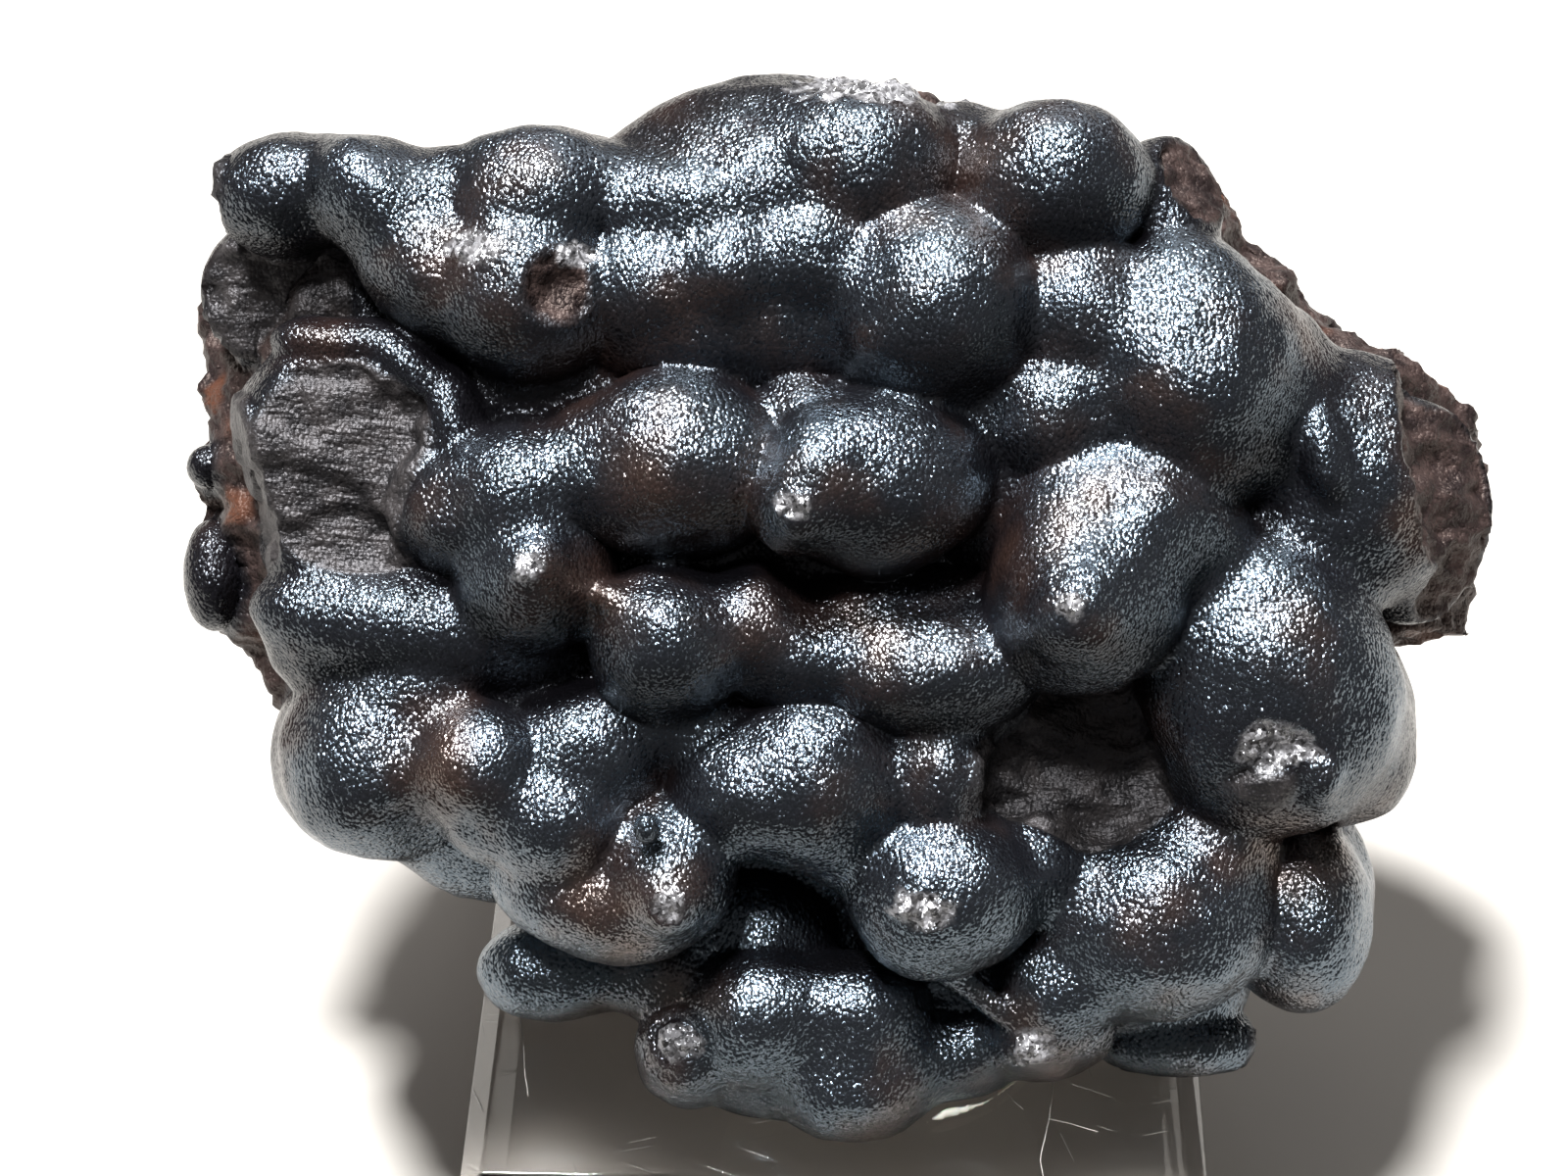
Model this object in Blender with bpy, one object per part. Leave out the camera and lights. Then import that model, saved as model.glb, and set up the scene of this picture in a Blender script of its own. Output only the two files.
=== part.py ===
"""A botryoidal goethite specimen standing on a clear acrylic display block.

The specimen is one natural piece: a broken block of iron ore whose front is
covered with fused, rounded lumps. It leans back on a bevelled acrylic block
and is bedded in a pad of white putty. Metres, +Z up. The origin is the centre
of the block's underside, and the lumpy face looks towards -Y and upwards.

The specimen is modelled lying on its back, in its own face frame: X across
the face, Y up the face and Z out of it. It is then stood up on the block.
"""

import math
from collections import namedtuple

import bmesh
import bpy
from mathutils import Matrix, Vector, noise

MM = 0.001

# The acrylic block is the two-inch square that minerals are mounted on.
BLOCK_SIDE = 50.8 * MM
BLOCK_HEIGHT = 12.7 * MM
BLOCK_BEVEL = 1.6 * MM

# How the specimen stands: turned up from lying flat, then placed on the block.
STAND_UP = math.radians(52.0)
TURN = math.radians(1.6)
FACE_CENTRE = Vector((-4.0, 2.0, 42.8)) * MM
TOUCH_GAP = 0.3 * MM

# The face leans a little more upright than the frame it is drawn in, and
# bulges in the middle. The bulge's height, place and reach are in millimetres.
FACE_SLOPE = 0.10
BULGE = 6.0
BULGE_ABOUT = Vector((0.0, 2.0))
BULGE_REACH = Vector((50.0, 36.0))

# The lumps of the middle swell into one another, those of the rim do not.
SWELL = 0.16
SWELL_ABOUT = Vector((3.0, -1.0))
SWELL_REACH = Vector((46.0, 30.0))
SWELL_ENDS = 0.95
SWELL_FADE = 0.25

# Mesh settings of the specimen.
VOXEL = 0.75 * MM
FILLET_PASSES = 4
SPECIMEN_TRIANGLES = 8300
BALL_DETAIL = 3

# Roughness of the broken faces.
BREAK_RELIEF = 1.3 * MM
BREAK_GRAIN = 5.0 * MM
FINE_GRAIN = 1.9 * MM
FINE_SHARE = 0.4
MEAN_RELIEF = 0.6
BLOCK_CUTS = 4

# The putty pad under the specimen.
PUTTY_CENTRE = Vector((3.2, -8.0, 0.0)) * MM
PUTTY_SIZE = Vector((12.0, 11.6, 3.4)) * MM
PUTTY_GAP = 0.5 * MM
PUTTY_BED = 1.3 * MM
MOULD_VOXEL = 0.8 * MM
MOULD_SHARE = 0.3

# One lump of the skin, in millimetres in the face frame. "out" is how far its
# centre stands proud of the mean face, "roll" turns it on the face in degrees.
# "broken" lists flat breaks of the unit ball: direction x, y, z and distance.
Lump = namedtuple("Lump", "across up out wide tall deep roll broken", defaults=(0.0, ()))

TOP_ROW = [
    Lump(-34.0, 26.8, -1.5, 4.7, 4.2, 5.0, 0.0, [(-1.0, 0.0, 0.0, 0.80)]),
    Lump(-30.2, 27.8, -2.5, 3.4, 2.9, 4.5),
    Lump(-26.6, 25.8, 0.0, 5.6, 4.0, 5.0, -38.0),
    Lump(-22.9, 21.4, -0.6, 5.8, 4.6, 5.2, -42.0),
    Lump(-16.5, 25.9, 0.0, 5.8, 5.2, 5.6),
    Lump(-6.8, 25.4, -0.8, 6.6, 4.2, 5.2),
    Lump(-1.6, 27.4, -1.0, 4.4, 4.0, 5.0),
    Lump(4.4, 28.2, -0.6, 7.4, 5.7, 6.2),
    Lump(-0.4, 24.6, -4.2, 12.6, 9.6, 7.6),
    Lump(17.8, 27.2, 1.0, 6.4, 5.6, 6.0),
    Lump(25.6, 25.6, -2.2, 4.0, 4.8, 4.4, 0.0, [(0.6, 0.5, 0.6, 0.70)]),
]

UPPER_ROW = [
    Lump(-17.0, 19.7, 1.0, 5.5, 5.2, 5.6, 0.0, [(0.45, 0.02, 0.89, 0.91)]),
    Lump(-9.0, 20.2, 0.2, 4.0, 4.2, 4.4),
    Lump(-3.7, 20.8, 0.8, 3.6, 3.5, 4.2),
    Lump(2.0, 21.8, 0.2, 4.6, 4.0, 4.6),
    Lump(-3.0, 17.4, -1.2, 9.4, 3.6, 4.4),
    Lump(9.9, 18.7, 1.6, 6.1, 6.0, 6.0),
    Lump(19.4, 18.4, 0.4, 4.6, 4.8, 4.8),
    Lump(26.2, 19.4, 0.6, 4.0, 4.2, 4.2),
    Lump(26.8, 14.2, 1.0, 6.8, 7.6, 6.4, 14.0),
    Lump(18.0, 11.8, 0.4, 4.4, 4.0, 4.2),
    Lump(31.6, 12.6, -1.2, 5.4, 6.4, 4.8),
    Lump(12.4, 11.8, -1.8, 5.4, 4.6, 3.8),
]

MIDDLE_ROW = [
    Lump(-28.6, 8.6, -2.2, 8.4, 8.2, 5.8, 0.0, [(0.14, -0.06, 0.98, 0.56), (-1.0, -0.2, 0.2, 0.76)]),
    Lump(-29.6, 16.6, -0.6, 4.4, 1.5, 2.6, -4.0),
    Lump(-25.0, 14.8, -0.4, 3.2, 1.6, 2.6, -38.0),
    Lump(-22.0, 11.2, -0.4, 1.6, 3.0, 2.6, 8.0),
    Lump(-21.8, 5.4, 0.0, 3.6, 3.6, 4.0),
    Lump(-17.8, 6.2, 1.2, 4.4, 4.4, 4.4),
    Lump(-16.6, 0.8, 1.8, 4.4, 4.2, 4.6),
    Lump(-12.2, 8.0, 0.8, 4.4, 3.8, 4.2),
    Lump(-6.9, 8.4, 1.4, 6.2, 5.4, 5.4),
    Lump(1.0, 11.6, 0.0, 2.8, 2.4, 3.2),
    Lump(6.2, 7.2, 2.2, 6.4, 5.2, 5.6),
    Lump(3.2, 7.4, 4.6, 3.8, 3.8, 3.8),
    Lump(0.1, 5.2, 4.4, 2.1, 2.6, 2.8),
    Lump(21.6, 4.0, 1.6, 6.4, 5.2, 5.8, 12.0),
    Lump(19.7, -0.6, 4.0, 5.6, 5.4, 5.6),
    Lump(26.0, 3.0, 0.2, 4.4, 5.2, 4.4),
    Lump(38.4, 7.4, -1.4, 6.6, 8.2, 5.6, 0.0, [(1.0, 0.22, 0.20, 0.60)]),
    Lump(43.2, 5.4, -4.4, 5.4, 7.4, 4.6, 0.0, [(0.55, 0.3, 0.78, 0.62), (0.6, -0.6, 0.5, 0.74)]),
    Lump(34.8, 3.6, -2.2, 5.0, 4.4, 4.2),
    Lump(32.0, -5.0, 0.8, 7.4, 8.0, 6.6, 14.0),
    Lump(34.6, -7.4, 0.6, 6.0, 6.4, 6.0),
    Lump(32.6, -11.0, 1.2, 6.4, 4.8, 5.6, 0.0, [(-0.08, -0.18, 0.98, 0.88)]),
    Lump(38.8, -9.4, -2.6, 4.0, 6.2, 5.6),
]

BELT_ROW = [
    Lump(-24.4, -2.4, -0.6, 10.0, 3.4, 4.0, -7.0),
    Lump(-31.2, -2.4, -1.8, 3.8, 4.0, 4.0),
    Lump(-7.8, -3.4, 2.2, 4.5, 4.4, 5.0),
    Lump(-2.2, -2.2, 0.6, 3.4, 3.2, 3.8),
    Lump(2.0, -4.4, 0.0, 5.6, 3.2, 4.2),
    Lump(9.4, -5.2, 1.2, 6.2, 3.8, 4.8),
    Lump(6.6, -1.8, -1.8, 7.2, 3.0, 4.2),
    Lump(14.6, -3.0, -2.0, 4.2, 3.8, 4.0),
]

LOWER_ROW = [
    Lump(-27.6, -11.4, -0.8, 5.8, 6.2, 6.0, 20.0),
    Lump(-24.4, -7.4, -1.0, 4.4, 4.0, 4.4),
    Lump(-20.6, -11.6, 3.0, 3.8, 3.6, 4.0),
    Lump(-15.2, -15.4, 3.2, 3.8, 3.6, 4.0),
    Lump(-18.2, -13.8, 1.8, 4.2, 3.8, 4.2),
    Lump(-13.2, -10.8, 0.6, 4.4, 4.0, 4.4),
    Lump(-6.8, -9.0, -1.0, 4.6, 3.0, 4.0),
    Lump(-7.8, -18.8, 3.2, 4.0, 4.2, 4.4),
    Lump(-12.6, -20.8, 1.8, 6.2, 3.6, 4.8, -12.0),
    Lump(1.8, -12.8, 1.4, 5.8, 4.8, 5.2),
    Lump(-2.6, -13.2, 2.0, 4.2, 3.8, 4.4),
    Lump(2.0, -10.6, 1.2, 3.8, 3.0, 4.4),
    Lump(10.2, -12.2, 0.6, 3.6, 4.2, 4.4, 0.0, [(0.93, 0.0, 0.36, 0.80)]),
    Lump(4.8, -16.6, 0.0, 3.4, 3.0, 3.8),
]

BASE_ROW = [
    Lump(-15.6, -26.1, -3.8, 5.8, 3.5, 4.6),
    Lump(-8.0, -26.4, -3.8, 5.0, 3.4, 4.2),
    Lump(10.6, -20.0, 3.0, 5.6, 4.8, 5.4),
    Lump(9.0, -22.6, 4.6, 2.9, 2.7, 3.2, 0.0, [(0.0, -0.1, 1.0, 0.60)]),
    Lump(16.6, -18.4, 0.0, 3.4, 3.4, 3.8),
    Lump(25.0, -22.2, 0.4, 7.8, 6.6, 6.6),
    Lump(28.6, -17.6, -0.8, 4.4, 3.8, 4.6),
    Lump(35.6, -22.4, -2.2, 5.2, 6.8, 6.6),
    Lump(-6.9, -31.8, 0.6, 3.6, 3.6, 4.2),
    Lump(-1.8, -29.0, 0.8, 4.8, 4.6, 5.0),
    Lump(4.6, -28.8, 0.2, 5.0, 4.2, 4.8),
    Lump(4.8, -32.8, 0.8, 6.0, 5.0, 5.4),
    Lump(-1.6, -33.6, -1.6, 4.6, 3.0, 4.6),
    Lump(11.4, -31.8, -1.2, 4.4, 3.4, 4.4),
    Lump(18.6, -26.8, 0.8, 4.2, 4.0, 4.6),
    Lump(17.4, -30.4, 0.2, 5.0, 2.9, 4.4),
    Lump(-2.4, -23.0, -4.4, 5.4, 4.0, 4.0),
]

# Lumps that carry the skin round the top, the sides and the underside.
WRAP_ROW = [
    Lump(-16.0, 27.4, -7.0, 6.4, 4.4, 6.0),
    Lump(4.0, 29.4, -7.2, 8.6, 4.4, 6.0),
    Lump(18.4, 27.8, -6.0, 5.4, 4.4, 5.6),
    Lump(-29.8, 26.6, -7.0, 7.0, 3.6, 6.0, 0.0, [(-1.0, 0.0, 0.0, 0.90)]),
    Lump(-29.2, -11.2, -7.4, 5.8, 6.2, 6.6),
    Lump(-22.0, -15.8, -5.4, 6.4, 4.6, 5.6, -28.0),
    Lump(38.4, -9.2, -8.0, 4.8, 6.6, 6.6),
    Lump(36.8, -21.4, -9.0, 4.8, 6.6, 6.8),
    Lump(25.4, -27.6, -6.4, 7.0, 4.0, 5.6),
    Lump(27.4, -31.6, -4.6, 5.8, 2.6, 4.2, 0.0, [(1.0, 0.0, 0.0, 0.82)]),
]

# Skin at the bottom of the furrows, and the scar where one lump broke away.
FURROWS = [
    Lump(-22.6, 26.0, -1.0, 3.6, 3.4, 4.4),
    Lump(-11.6, 26.2, -1.0, 3.2, 3.4, 4.4),
    Lump(5.0, 14.2, -3.2, 4.6, 3.4, 4.0),
    Lump(15.6, 7.2, -3.0, 6.2, 5.6, 4.4),
    Lump(-15.0, 13.6, -4.2, 8.0, 4.2, 4.0),
    Lump(-1.0, 1.8, -4.4, 12.0, 3.6, 4.0),
    Lump(-16.0, -6.2, -4.4, 8.0, 4.2, 4.0),
    Lump(-8.8, -13.4, -2.4, 4.6, 4.2, 4.0),
    Lump(-33.4, 20.6, -7.2, 6.6, 5.6, 4.6, 0.0, [(-0.1, -0.25, 0.96, 0.34)]),
    Lump(19.2, -11.6, -3.2, 7.6, 7.8, 5.4, 0.0, [(0.05, -0.12, 1.0, 0.52)]),
    Lump(14.6, -8.6, -3.6, 4.6, 3.0, 4.0),
    Lump(19.8, -17.6, -3.2, 5.0, 3.4, 4.4),
    Lump(13.0, -25.8, -4.2, 6.0, 3.6, 4.4),
    Lump(-40.2, 8.6, -9.4, 1.5, 1.6, 2.0),
    Lump(-39.6, 1.0, -9.2, 2.4, 3.8, 3.0),
]

SKIN = TOP_ROW + UPPER_ROW + MIDDLE_ROW + BELT_ROW + LOWER_ROW + BASE_ROW + WRAP_ROW + FURROWS

# The broken rim of the block of ore, seen from the front, in millimetres.
RIM = [
    (-39.4, 25.2), (-37.0, 29.4), (-31.0, 30.6), (-24.0, 28.6), (-16.5, 29.6),
    (-9.0, 28.4), (-2.0, 31.8), (6.2, 36.0), (14.4, 34.2), (20.0, 32.4),
    (25.4, 31.0), (30.5, 30.4), (32.6, 25.5), (36.6, 23.6), (37.8, 20.8),
    (41.9, 17.7), (44.6, 17.9), (50.6, 11.8), (49.8, 10.0), (50.3, 2.8),
    (49.0, -3.4), (43.0, -4.4), (40.0, -8.0), (38.6, -16.0), (38.0, -22.0),
    (33.4, -28.4), (24.0, -30.8), (14.0, -31.8), (4.0, -32.2), (-5.0, -30.8),
    (-10.0, -26.6), (-18.0, -22.6), (-24.0, -18.8), (-31.6, -15.4), (-35.6, -11.4),
    (-37.2, -6.6), (-40.4, -3.2), (-41.8, 3.4), (-42.2, 8.6), (-41.2, 12.8),
    (-41.4, 17.6), (-41.6, 21.4),
]

# Each level of the ore block: depth behind the mean face in millimetres, and
# how much the rim is drawn in there, about the point that follows.
LEVELS = [
    (3.2, 0.05), (3.2, 0.45), (3.6, 0.84), (6.4, 0.93), (10.5, 1.0),
    (17.0, 0.97), (25.0, 0.86), (31.0, 0.68), (34.0, 0.40), (34.5, 0.05),
]
DRAW_IN_ABOUT = Vector((3.0, 1.0))


def clear_scene():
    """Removes whatever the file opened with."""
    for obj in list(bpy.data.objects):
        bpy.data.objects.remove(obj)


def finish(name, colour, roughness, metallic=0.0, transmission=0.0):
    """A Principled material of one colour."""
    material = bpy.data.materials.new(name)
    material.use_nodes = True
    shader = material.node_tree.nodes["Principled BSDF"]
    shader.inputs["Base Color"].default_value = (*colour, 1.0)
    shader.inputs["Roughness"].default_value = roughness
    shader.inputs["Metallic"].default_value = metallic
    shader.inputs["Transmission Weight"].default_value = transmission
    return material


def object_from(name, mesh, material=None):
    """Links a mesh to the scene as a named object."""
    obj = bpy.data.objects.new(name, mesh)
    bpy.context.scene.collection.objects.link(obj)
    if material:
        mesh.materials.clear()
        mesh.materials.append(material)
    return obj


def mesh_from(bm, name):
    """Turns a bmesh into a mesh and frees it."""
    mesh = bpy.data.meshes.new(name)
    bm.to_mesh(mesh)
    bm.free()
    return mesh


def evaluated_mesh(obj):
    """The object's mesh with its modifiers applied."""
    graph = bpy.context.evaluated_depsgraph_get()
    return bpy.data.meshes.new_from_object(obj.evaluated_get(graph))


def share_of(across, up, about, reach):
    """How far out a place on the face lies: 0 at the middle, 1 at the reach."""
    return math.hypot((across - about.x) / reach.x, (up - about.y) / reach.y)


def mean_face(across, up):
    """Height in mm of the mean lumpy face above the face frame's plane."""
    out = share_of(across, up, BULGE_ABOUT, BULGE_REACH)
    return FACE_SLOPE * up + BULGE * max(0.0, 1.0 - out * out)


def swell_of(lump):
    """How much this lump swells: full in the middle, none at the rim."""
    out = share_of(lump.across, lump.up, SWELL_ABOUT, SWELL_REACH)
    return 1.0 + SWELL * min(1.0, max(0.0, (SWELL_ENDS - out) / SWELL_FADE))


def lump_matrix(lump):
    """Places a unit ball as this lump, in metres in the face frame."""
    swell = swell_of(lump)
    deep = lump.deep * swell
    height = mean_face(lump.across, lump.up) + lump.out + lump.deep - deep
    centre = Vector((lump.across, lump.up, height)) * MM
    size = Matrix.Diagonal((lump.wide * swell * MM, lump.tall * swell * MM, deep * MM, 1.0))
    return Matrix.Translation(centre) @ Matrix.Rotation(math.radians(lump.roll), 4, "Z") @ size


def floor_height(depth):
    """Lowest point up the face, in mm, that stays above the block at this depth."""
    rest = (FACE_CENTRE.z - BLOCK_HEIGHT - PUTTY_BED) / MM
    return (depth * math.cos(STAND_UP) - rest) / math.sin(STAND_UP)


def rim_point(x, y, depth, share):
    """A rim point drawn in for its level, in metres in the face frame."""
    point = DRAW_IN_ABOUT + (Vector((x, y)) - DRAW_IN_ABOUT) * share
    height = mean_face(point.x, point.y) - depth
    point.y = max(point.y, floor_height(-height))
    return Vector((point.x, point.y, height)) * MM


def break_relief(point):
    """Depth of the scalloped, hackly relief of a broken face at this point."""
    scallops = noise.noise(point / BREAK_GRAIN, noise_basis="VORONOI_F1")
    grain = noise.noise(point / FINE_GRAIN, noise_basis="VORONOI_F1")
    return BREAK_RELIEF * (scallops + FINE_SHARE * grain - MEAN_RELIEF)


def add_ore_block(bm):
    """Lofts the broken block of ore behind the lumps and roughens it."""
    rings = []
    for depth, share in LEVELS:
        rings.append([bm.verts.new(rim_point(x, y, depth, share)) for x, y in RIM])
    bm.faces.new(rings[0])
    bm.faces.new(reversed(rings[-1]))
    for front, back in zip(rings, rings[1:]):
        for i, corner in enumerate(front):
            j = (i + 1) % len(front)
            bm.faces.new((corner, back[i], back[j], front[j]))
    bmesh.ops.recalc_face_normals(bm, faces=bm.faces)
    bmesh.ops.subdivide_edges(bm, edges=bm.edges, cuts=BLOCK_CUTS, use_grid_fill=True)
    bm.normal_update()
    moves = [vertex.normal * break_relief(vertex.co) for vertex in bm.verts]
    for vertex, move in zip(bm.verts, moves):
        vertex.co += move


def add_lumps(bm, lumps):
    """Adds one ball for each lump, flattened where the lump is broken."""
    for lump in lumps:
        ball = bmesh.ops.create_icosphere(bm, subdivisions=BALL_DETAIL, radius=1.0)
        for x, y, z, distance in lump.broken:
            direction = Vector((x, y, z)).normalized()
            for vertex in ball["verts"]:
                beyond = vertex.co.dot(direction) - distance
                vertex.co -= direction * max(beyond, 0.0)
        bmesh.ops.transform(bm, matrix=lump_matrix(lump), verts=ball["verts"])


def keep_outer_shell(bm):
    """Fills the small hollows between the lumps: only the outermost shell stays."""
    unseen = set(bm.verts)
    shells = []
    while unseen:
        shell = set()
        front = [unseen.pop()]
        while front:
            vertex = front.pop()
            shell.add(vertex)
            for edge in vertex.link_edges:
                other = edge.other_vert(vertex)
                if other in unseen:
                    unseen.remove(other)
                    front.append(other)
        shells.append(shell)
    outer = max(shells, key=len)
    inner = [vertex for vertex in bm.verts if vertex not in outer]
    bmesh.ops.delete(bm, geom=inner, context="VERTS")


def cut_level(bm, height, keep_above=True):
    """Cuts the mesh at a height, closes it with a flat face, and keeps one side."""
    cut = bmesh.ops.bisect_plane(
        bm,
        geom=bm.verts[:] + bm.edges[:] + bm.faces[:],
        dist=1e-7,
        plane_co=(0.0, 0.0, height),
        plane_no=(0.0, 0.0, 1.0),
        clear_inner=keep_above,
        clear_outer=not keep_above,
    )
    rim = [item for item in cut["geom_cut"] if isinstance(item, bmesh.types.BMEdge)]
    bmesh.ops.triangle_fill(bm, edges=rim, use_beauty=True, use_dissolve=False)
    bmesh.ops.recalc_face_normals(bm, faces=bm.faces)


def stand_matrix():
    """Turns the face frame up and sets it on the block."""
    upright = Matrix.Rotation(STAND_UP, 4, "X")
    turned = Matrix.Rotation(TURN, 4, "Z")
    return Matrix.Translation(FACE_CENTRE) @ turned @ upright


def add_difference(obj, cutter):
    """Cuts one object with another, which a render leaves out."""
    cutter.hide_render = True
    cutter.display_type = "WIRE"
    cut = obj.modifiers.new("cut", "BOOLEAN")
    cut.operation = "DIFFERENCE"
    cut.solver = "EXACT"
    cut.object = cutter


def make_specimen():
    """The goethite: ore block and lumps fused in one solid, standing up."""
    bm = bmesh.new()
    add_ore_block(bm)
    add_lumps(bm, SKIN)
    bmesh.ops.transform(bm, matrix=stand_matrix(), verts=bm.verts)
    fused = object_from("fused", mesh_from(bm, "fused"))
    remesh = fused.modifiers.new("fuse", "REMESH")
    remesh.mode = "VOXEL"
    remesh.voxel_size = VOXEL
    fillet = fused.modifiers.new("fillet", "SMOOTH")
    fillet.iterations = FILLET_PASSES
    whole = object_from("whole", evaluated_mesh(fused))
    bpy.data.objects.remove(fused)

    bm = bmesh.new()
    bm.from_mesh(whole.data)
    keep_outer_shell(bm)
    cut_level(bm, BLOCK_HEIGHT + TOUCH_GAP)
    keep_outer_shell(bm)
    triangles = sum(len(face.verts) - 2 for face in bm.faces)
    bm.to_mesh(whole.data)
    bm.free()
    thin_out = whole.modifiers.new("thin_out", "DECIMATE")
    thin_out.ratio = SPECIMEN_TRIANGLES / triangles
    ore = finish("goethite_ore", (0.018, 0.015, 0.015), 0.28, metallic=0.75)
    specimen = object_from("goethite_specimen", evaluated_mesh(whole), ore)
    bpy.data.objects.remove(whole)
    return specimen


def make_block():
    """The acrylic block, bevelled round its top face."""
    bm = bmesh.new()
    size = Matrix.Diagonal((BLOCK_SIDE, BLOCK_SIDE, BLOCK_HEIGHT, 1.0))
    place = Matrix.Translation((0.0, 0.0, BLOCK_HEIGHT / 2))
    bmesh.ops.create_cube(bm, size=1.0, matrix=place @ size)
    rim = [e for e in bm.edges if all(v.co.z > BLOCK_HEIGHT / 2 for v in e.verts)]
    bmesh.ops.bevel(bm, geom=rim, offset=BLOCK_BEVEL, segments=1, affect="EDGES")
    acrylic = finish("clear_acrylic", (0.95, 0.96, 0.96), 0.03, transmission=1.0)
    return object_from("acrylic_block", mesh_from(bm, "acrylic_block"), acrylic)


def make_putty(specimen):
    """The pad of putty pressed between the specimen and the block."""
    bm = bmesh.new()
    bm.from_mesh(specimen.data)
    cut_level(bm, BLOCK_HEIGHT + PUTTY_SIZE.z + 2 * PUTTY_GAP, keep_above=False)
    mould = object_from("putty_mould", mesh_from(bm, "putty_mould"))
    swell = mould.modifiers.new("swell", "DISPLACE")
    swell.mid_level = 0.0
    swell.strength = PUTTY_GAP
    clean = mould.modifiers.new("clean", "REMESH")
    clean.mode = "VOXEL"
    clean.voxel_size = MOULD_VOXEL
    thin_out = mould.modifiers.new("thin_out", "DECIMATE")
    thin_out.ratio = MOULD_SHARE

    bm = bmesh.new()
    place = Matrix.Translation(PUTTY_CENTRE + Vector((0.0, 0.0, BLOCK_HEIGHT)))
    size = Matrix.Diagonal((*PUTTY_SIZE, 1.0))
    bmesh.ops.create_icosphere(bm, subdivisions=4, radius=1.0, matrix=place @ size)
    cut_level(bm, BLOCK_HEIGHT + TOUCH_GAP)
    white = finish("white_putty", (0.78, 0.77, 0.72), 0.55)
    putty = object_from("putty_pad", mesh_from(bm, "putty_pad"), white)
    add_difference(putty, mould)
    return putty


def main():
    """Builds the three pieces."""
    clear_scene()
    make_block()
    specimen = make_specimen()
    make_putty(specimen)


main()
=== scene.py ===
"""Dresses the goethite specimen, its putty and its acrylic block for the camera.

The specimen is grown again from the same rows of lumps as the solid, this time
fine enough to carry chips, knobs, growth rings and fibrous breaks.
"""

import logging
import math
from dataclasses import dataclass, field
from enum import Enum

import bmesh
import bpy
import numpy as np
from mathutils import Matrix, Vector, noise


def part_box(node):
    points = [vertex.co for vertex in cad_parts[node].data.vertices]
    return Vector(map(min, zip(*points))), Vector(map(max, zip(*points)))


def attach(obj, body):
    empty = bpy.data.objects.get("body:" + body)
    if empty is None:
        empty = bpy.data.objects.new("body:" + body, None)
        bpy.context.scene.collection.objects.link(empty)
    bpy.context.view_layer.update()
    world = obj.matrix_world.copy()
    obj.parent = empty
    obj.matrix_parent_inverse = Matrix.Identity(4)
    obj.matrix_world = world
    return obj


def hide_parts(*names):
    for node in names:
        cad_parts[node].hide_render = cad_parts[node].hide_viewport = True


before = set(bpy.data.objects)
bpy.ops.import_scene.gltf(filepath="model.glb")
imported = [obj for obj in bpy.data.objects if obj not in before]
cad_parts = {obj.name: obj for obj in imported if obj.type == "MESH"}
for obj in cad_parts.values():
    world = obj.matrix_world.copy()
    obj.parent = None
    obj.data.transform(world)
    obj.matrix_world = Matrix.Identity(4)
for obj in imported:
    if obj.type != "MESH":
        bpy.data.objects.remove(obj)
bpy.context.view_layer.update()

LOG = logging.getLogger("goethite")
MM = 0.001

# Points of the solids that lie closer together than this are one point.
SAME_POINT = 0.01 * MM

# Kept off a division or a logarithm of zero, and the largest exponent taken.
NEAR_ZERO = 1e-9
EXPONENT = 30.0

Colour = tuple[float, float, float, float]
Flat = tuple[float, float, float, float]
Span = tuple[float, float]
Piece = bpy.types.Object
Mesh = bpy.types.Mesh
Material = bpy.types.Material
Tree = bpy.types.NodeTree
Socket = bpy.types.NodeSocket

# A hex colour, or the socket that gives one.
Paint = str | Socket


# Small helpers


def linear(hex_colour: str) -> Colour:
    """Turns an sRGB hex colour into linear light.

    Args:
        hex_colour: Six hex digits, with or without a leading hash.

    Returns:
        Red, green, blue and an alpha of one.
    """
    digits = hex_colour.lstrip("#")
    channels = [int(digits[i : i + 2], 16) / 255 for i in (0, 2, 4)]
    lit = [c / 12.92 if c <= 0.04045 else ((c + 0.055) / 1.055) ** 2.4 for c in channels]
    return (lit[0], lit[1], lit[2], 1.0)


def add_node(tree: Tree, kind: str, feeds: dict, **settings: object) -> bpy.types.Node:
    """Adds one node with its settings, its input values and its links.

    Args:
        tree: The tree to add to.
        kind: The node's type name.
        feeds: Input name or index to a value, or to the socket that feeds it.
        settings: Attributes of the node, such as operation.

    Returns:
        The new node.
    """
    made = tree.nodes.new(kind)
    for name, value in settings.items():
        setattr(made, name, value)
    for name, value in feeds.items():
        if isinstance(value, Socket):
            tree.links.new(value, made.inputs[name])
        else:
            made.inputs[name].default_value = value
    return made


def new_material(name: str) -> tuple[Material, Tree, bpy.types.Node]:
    """Makes a node material.

    Args:
        name: The material's name.

    Returns:
        The material, its tree and its Principled shader.
    """
    material = bpy.data.materials.new(name)
    material.use_nodes = True
    tree = material.node_tree
    return material, tree, tree.nodes["Principled BSDF"]


def add_object(name: str, data: bpy.types.ID) -> Piece:
    """Links a mesh, a lamp or a camera to the scene as an object at the origin.

    Args:
        name: The object's name.
        data: The mesh, the lamp or the camera.

    Returns:
        The new object.
    """
    piece = bpy.data.objects.new(name, data)
    bpy.context.scene.collection.objects.link(piece)
    return piece


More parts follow.
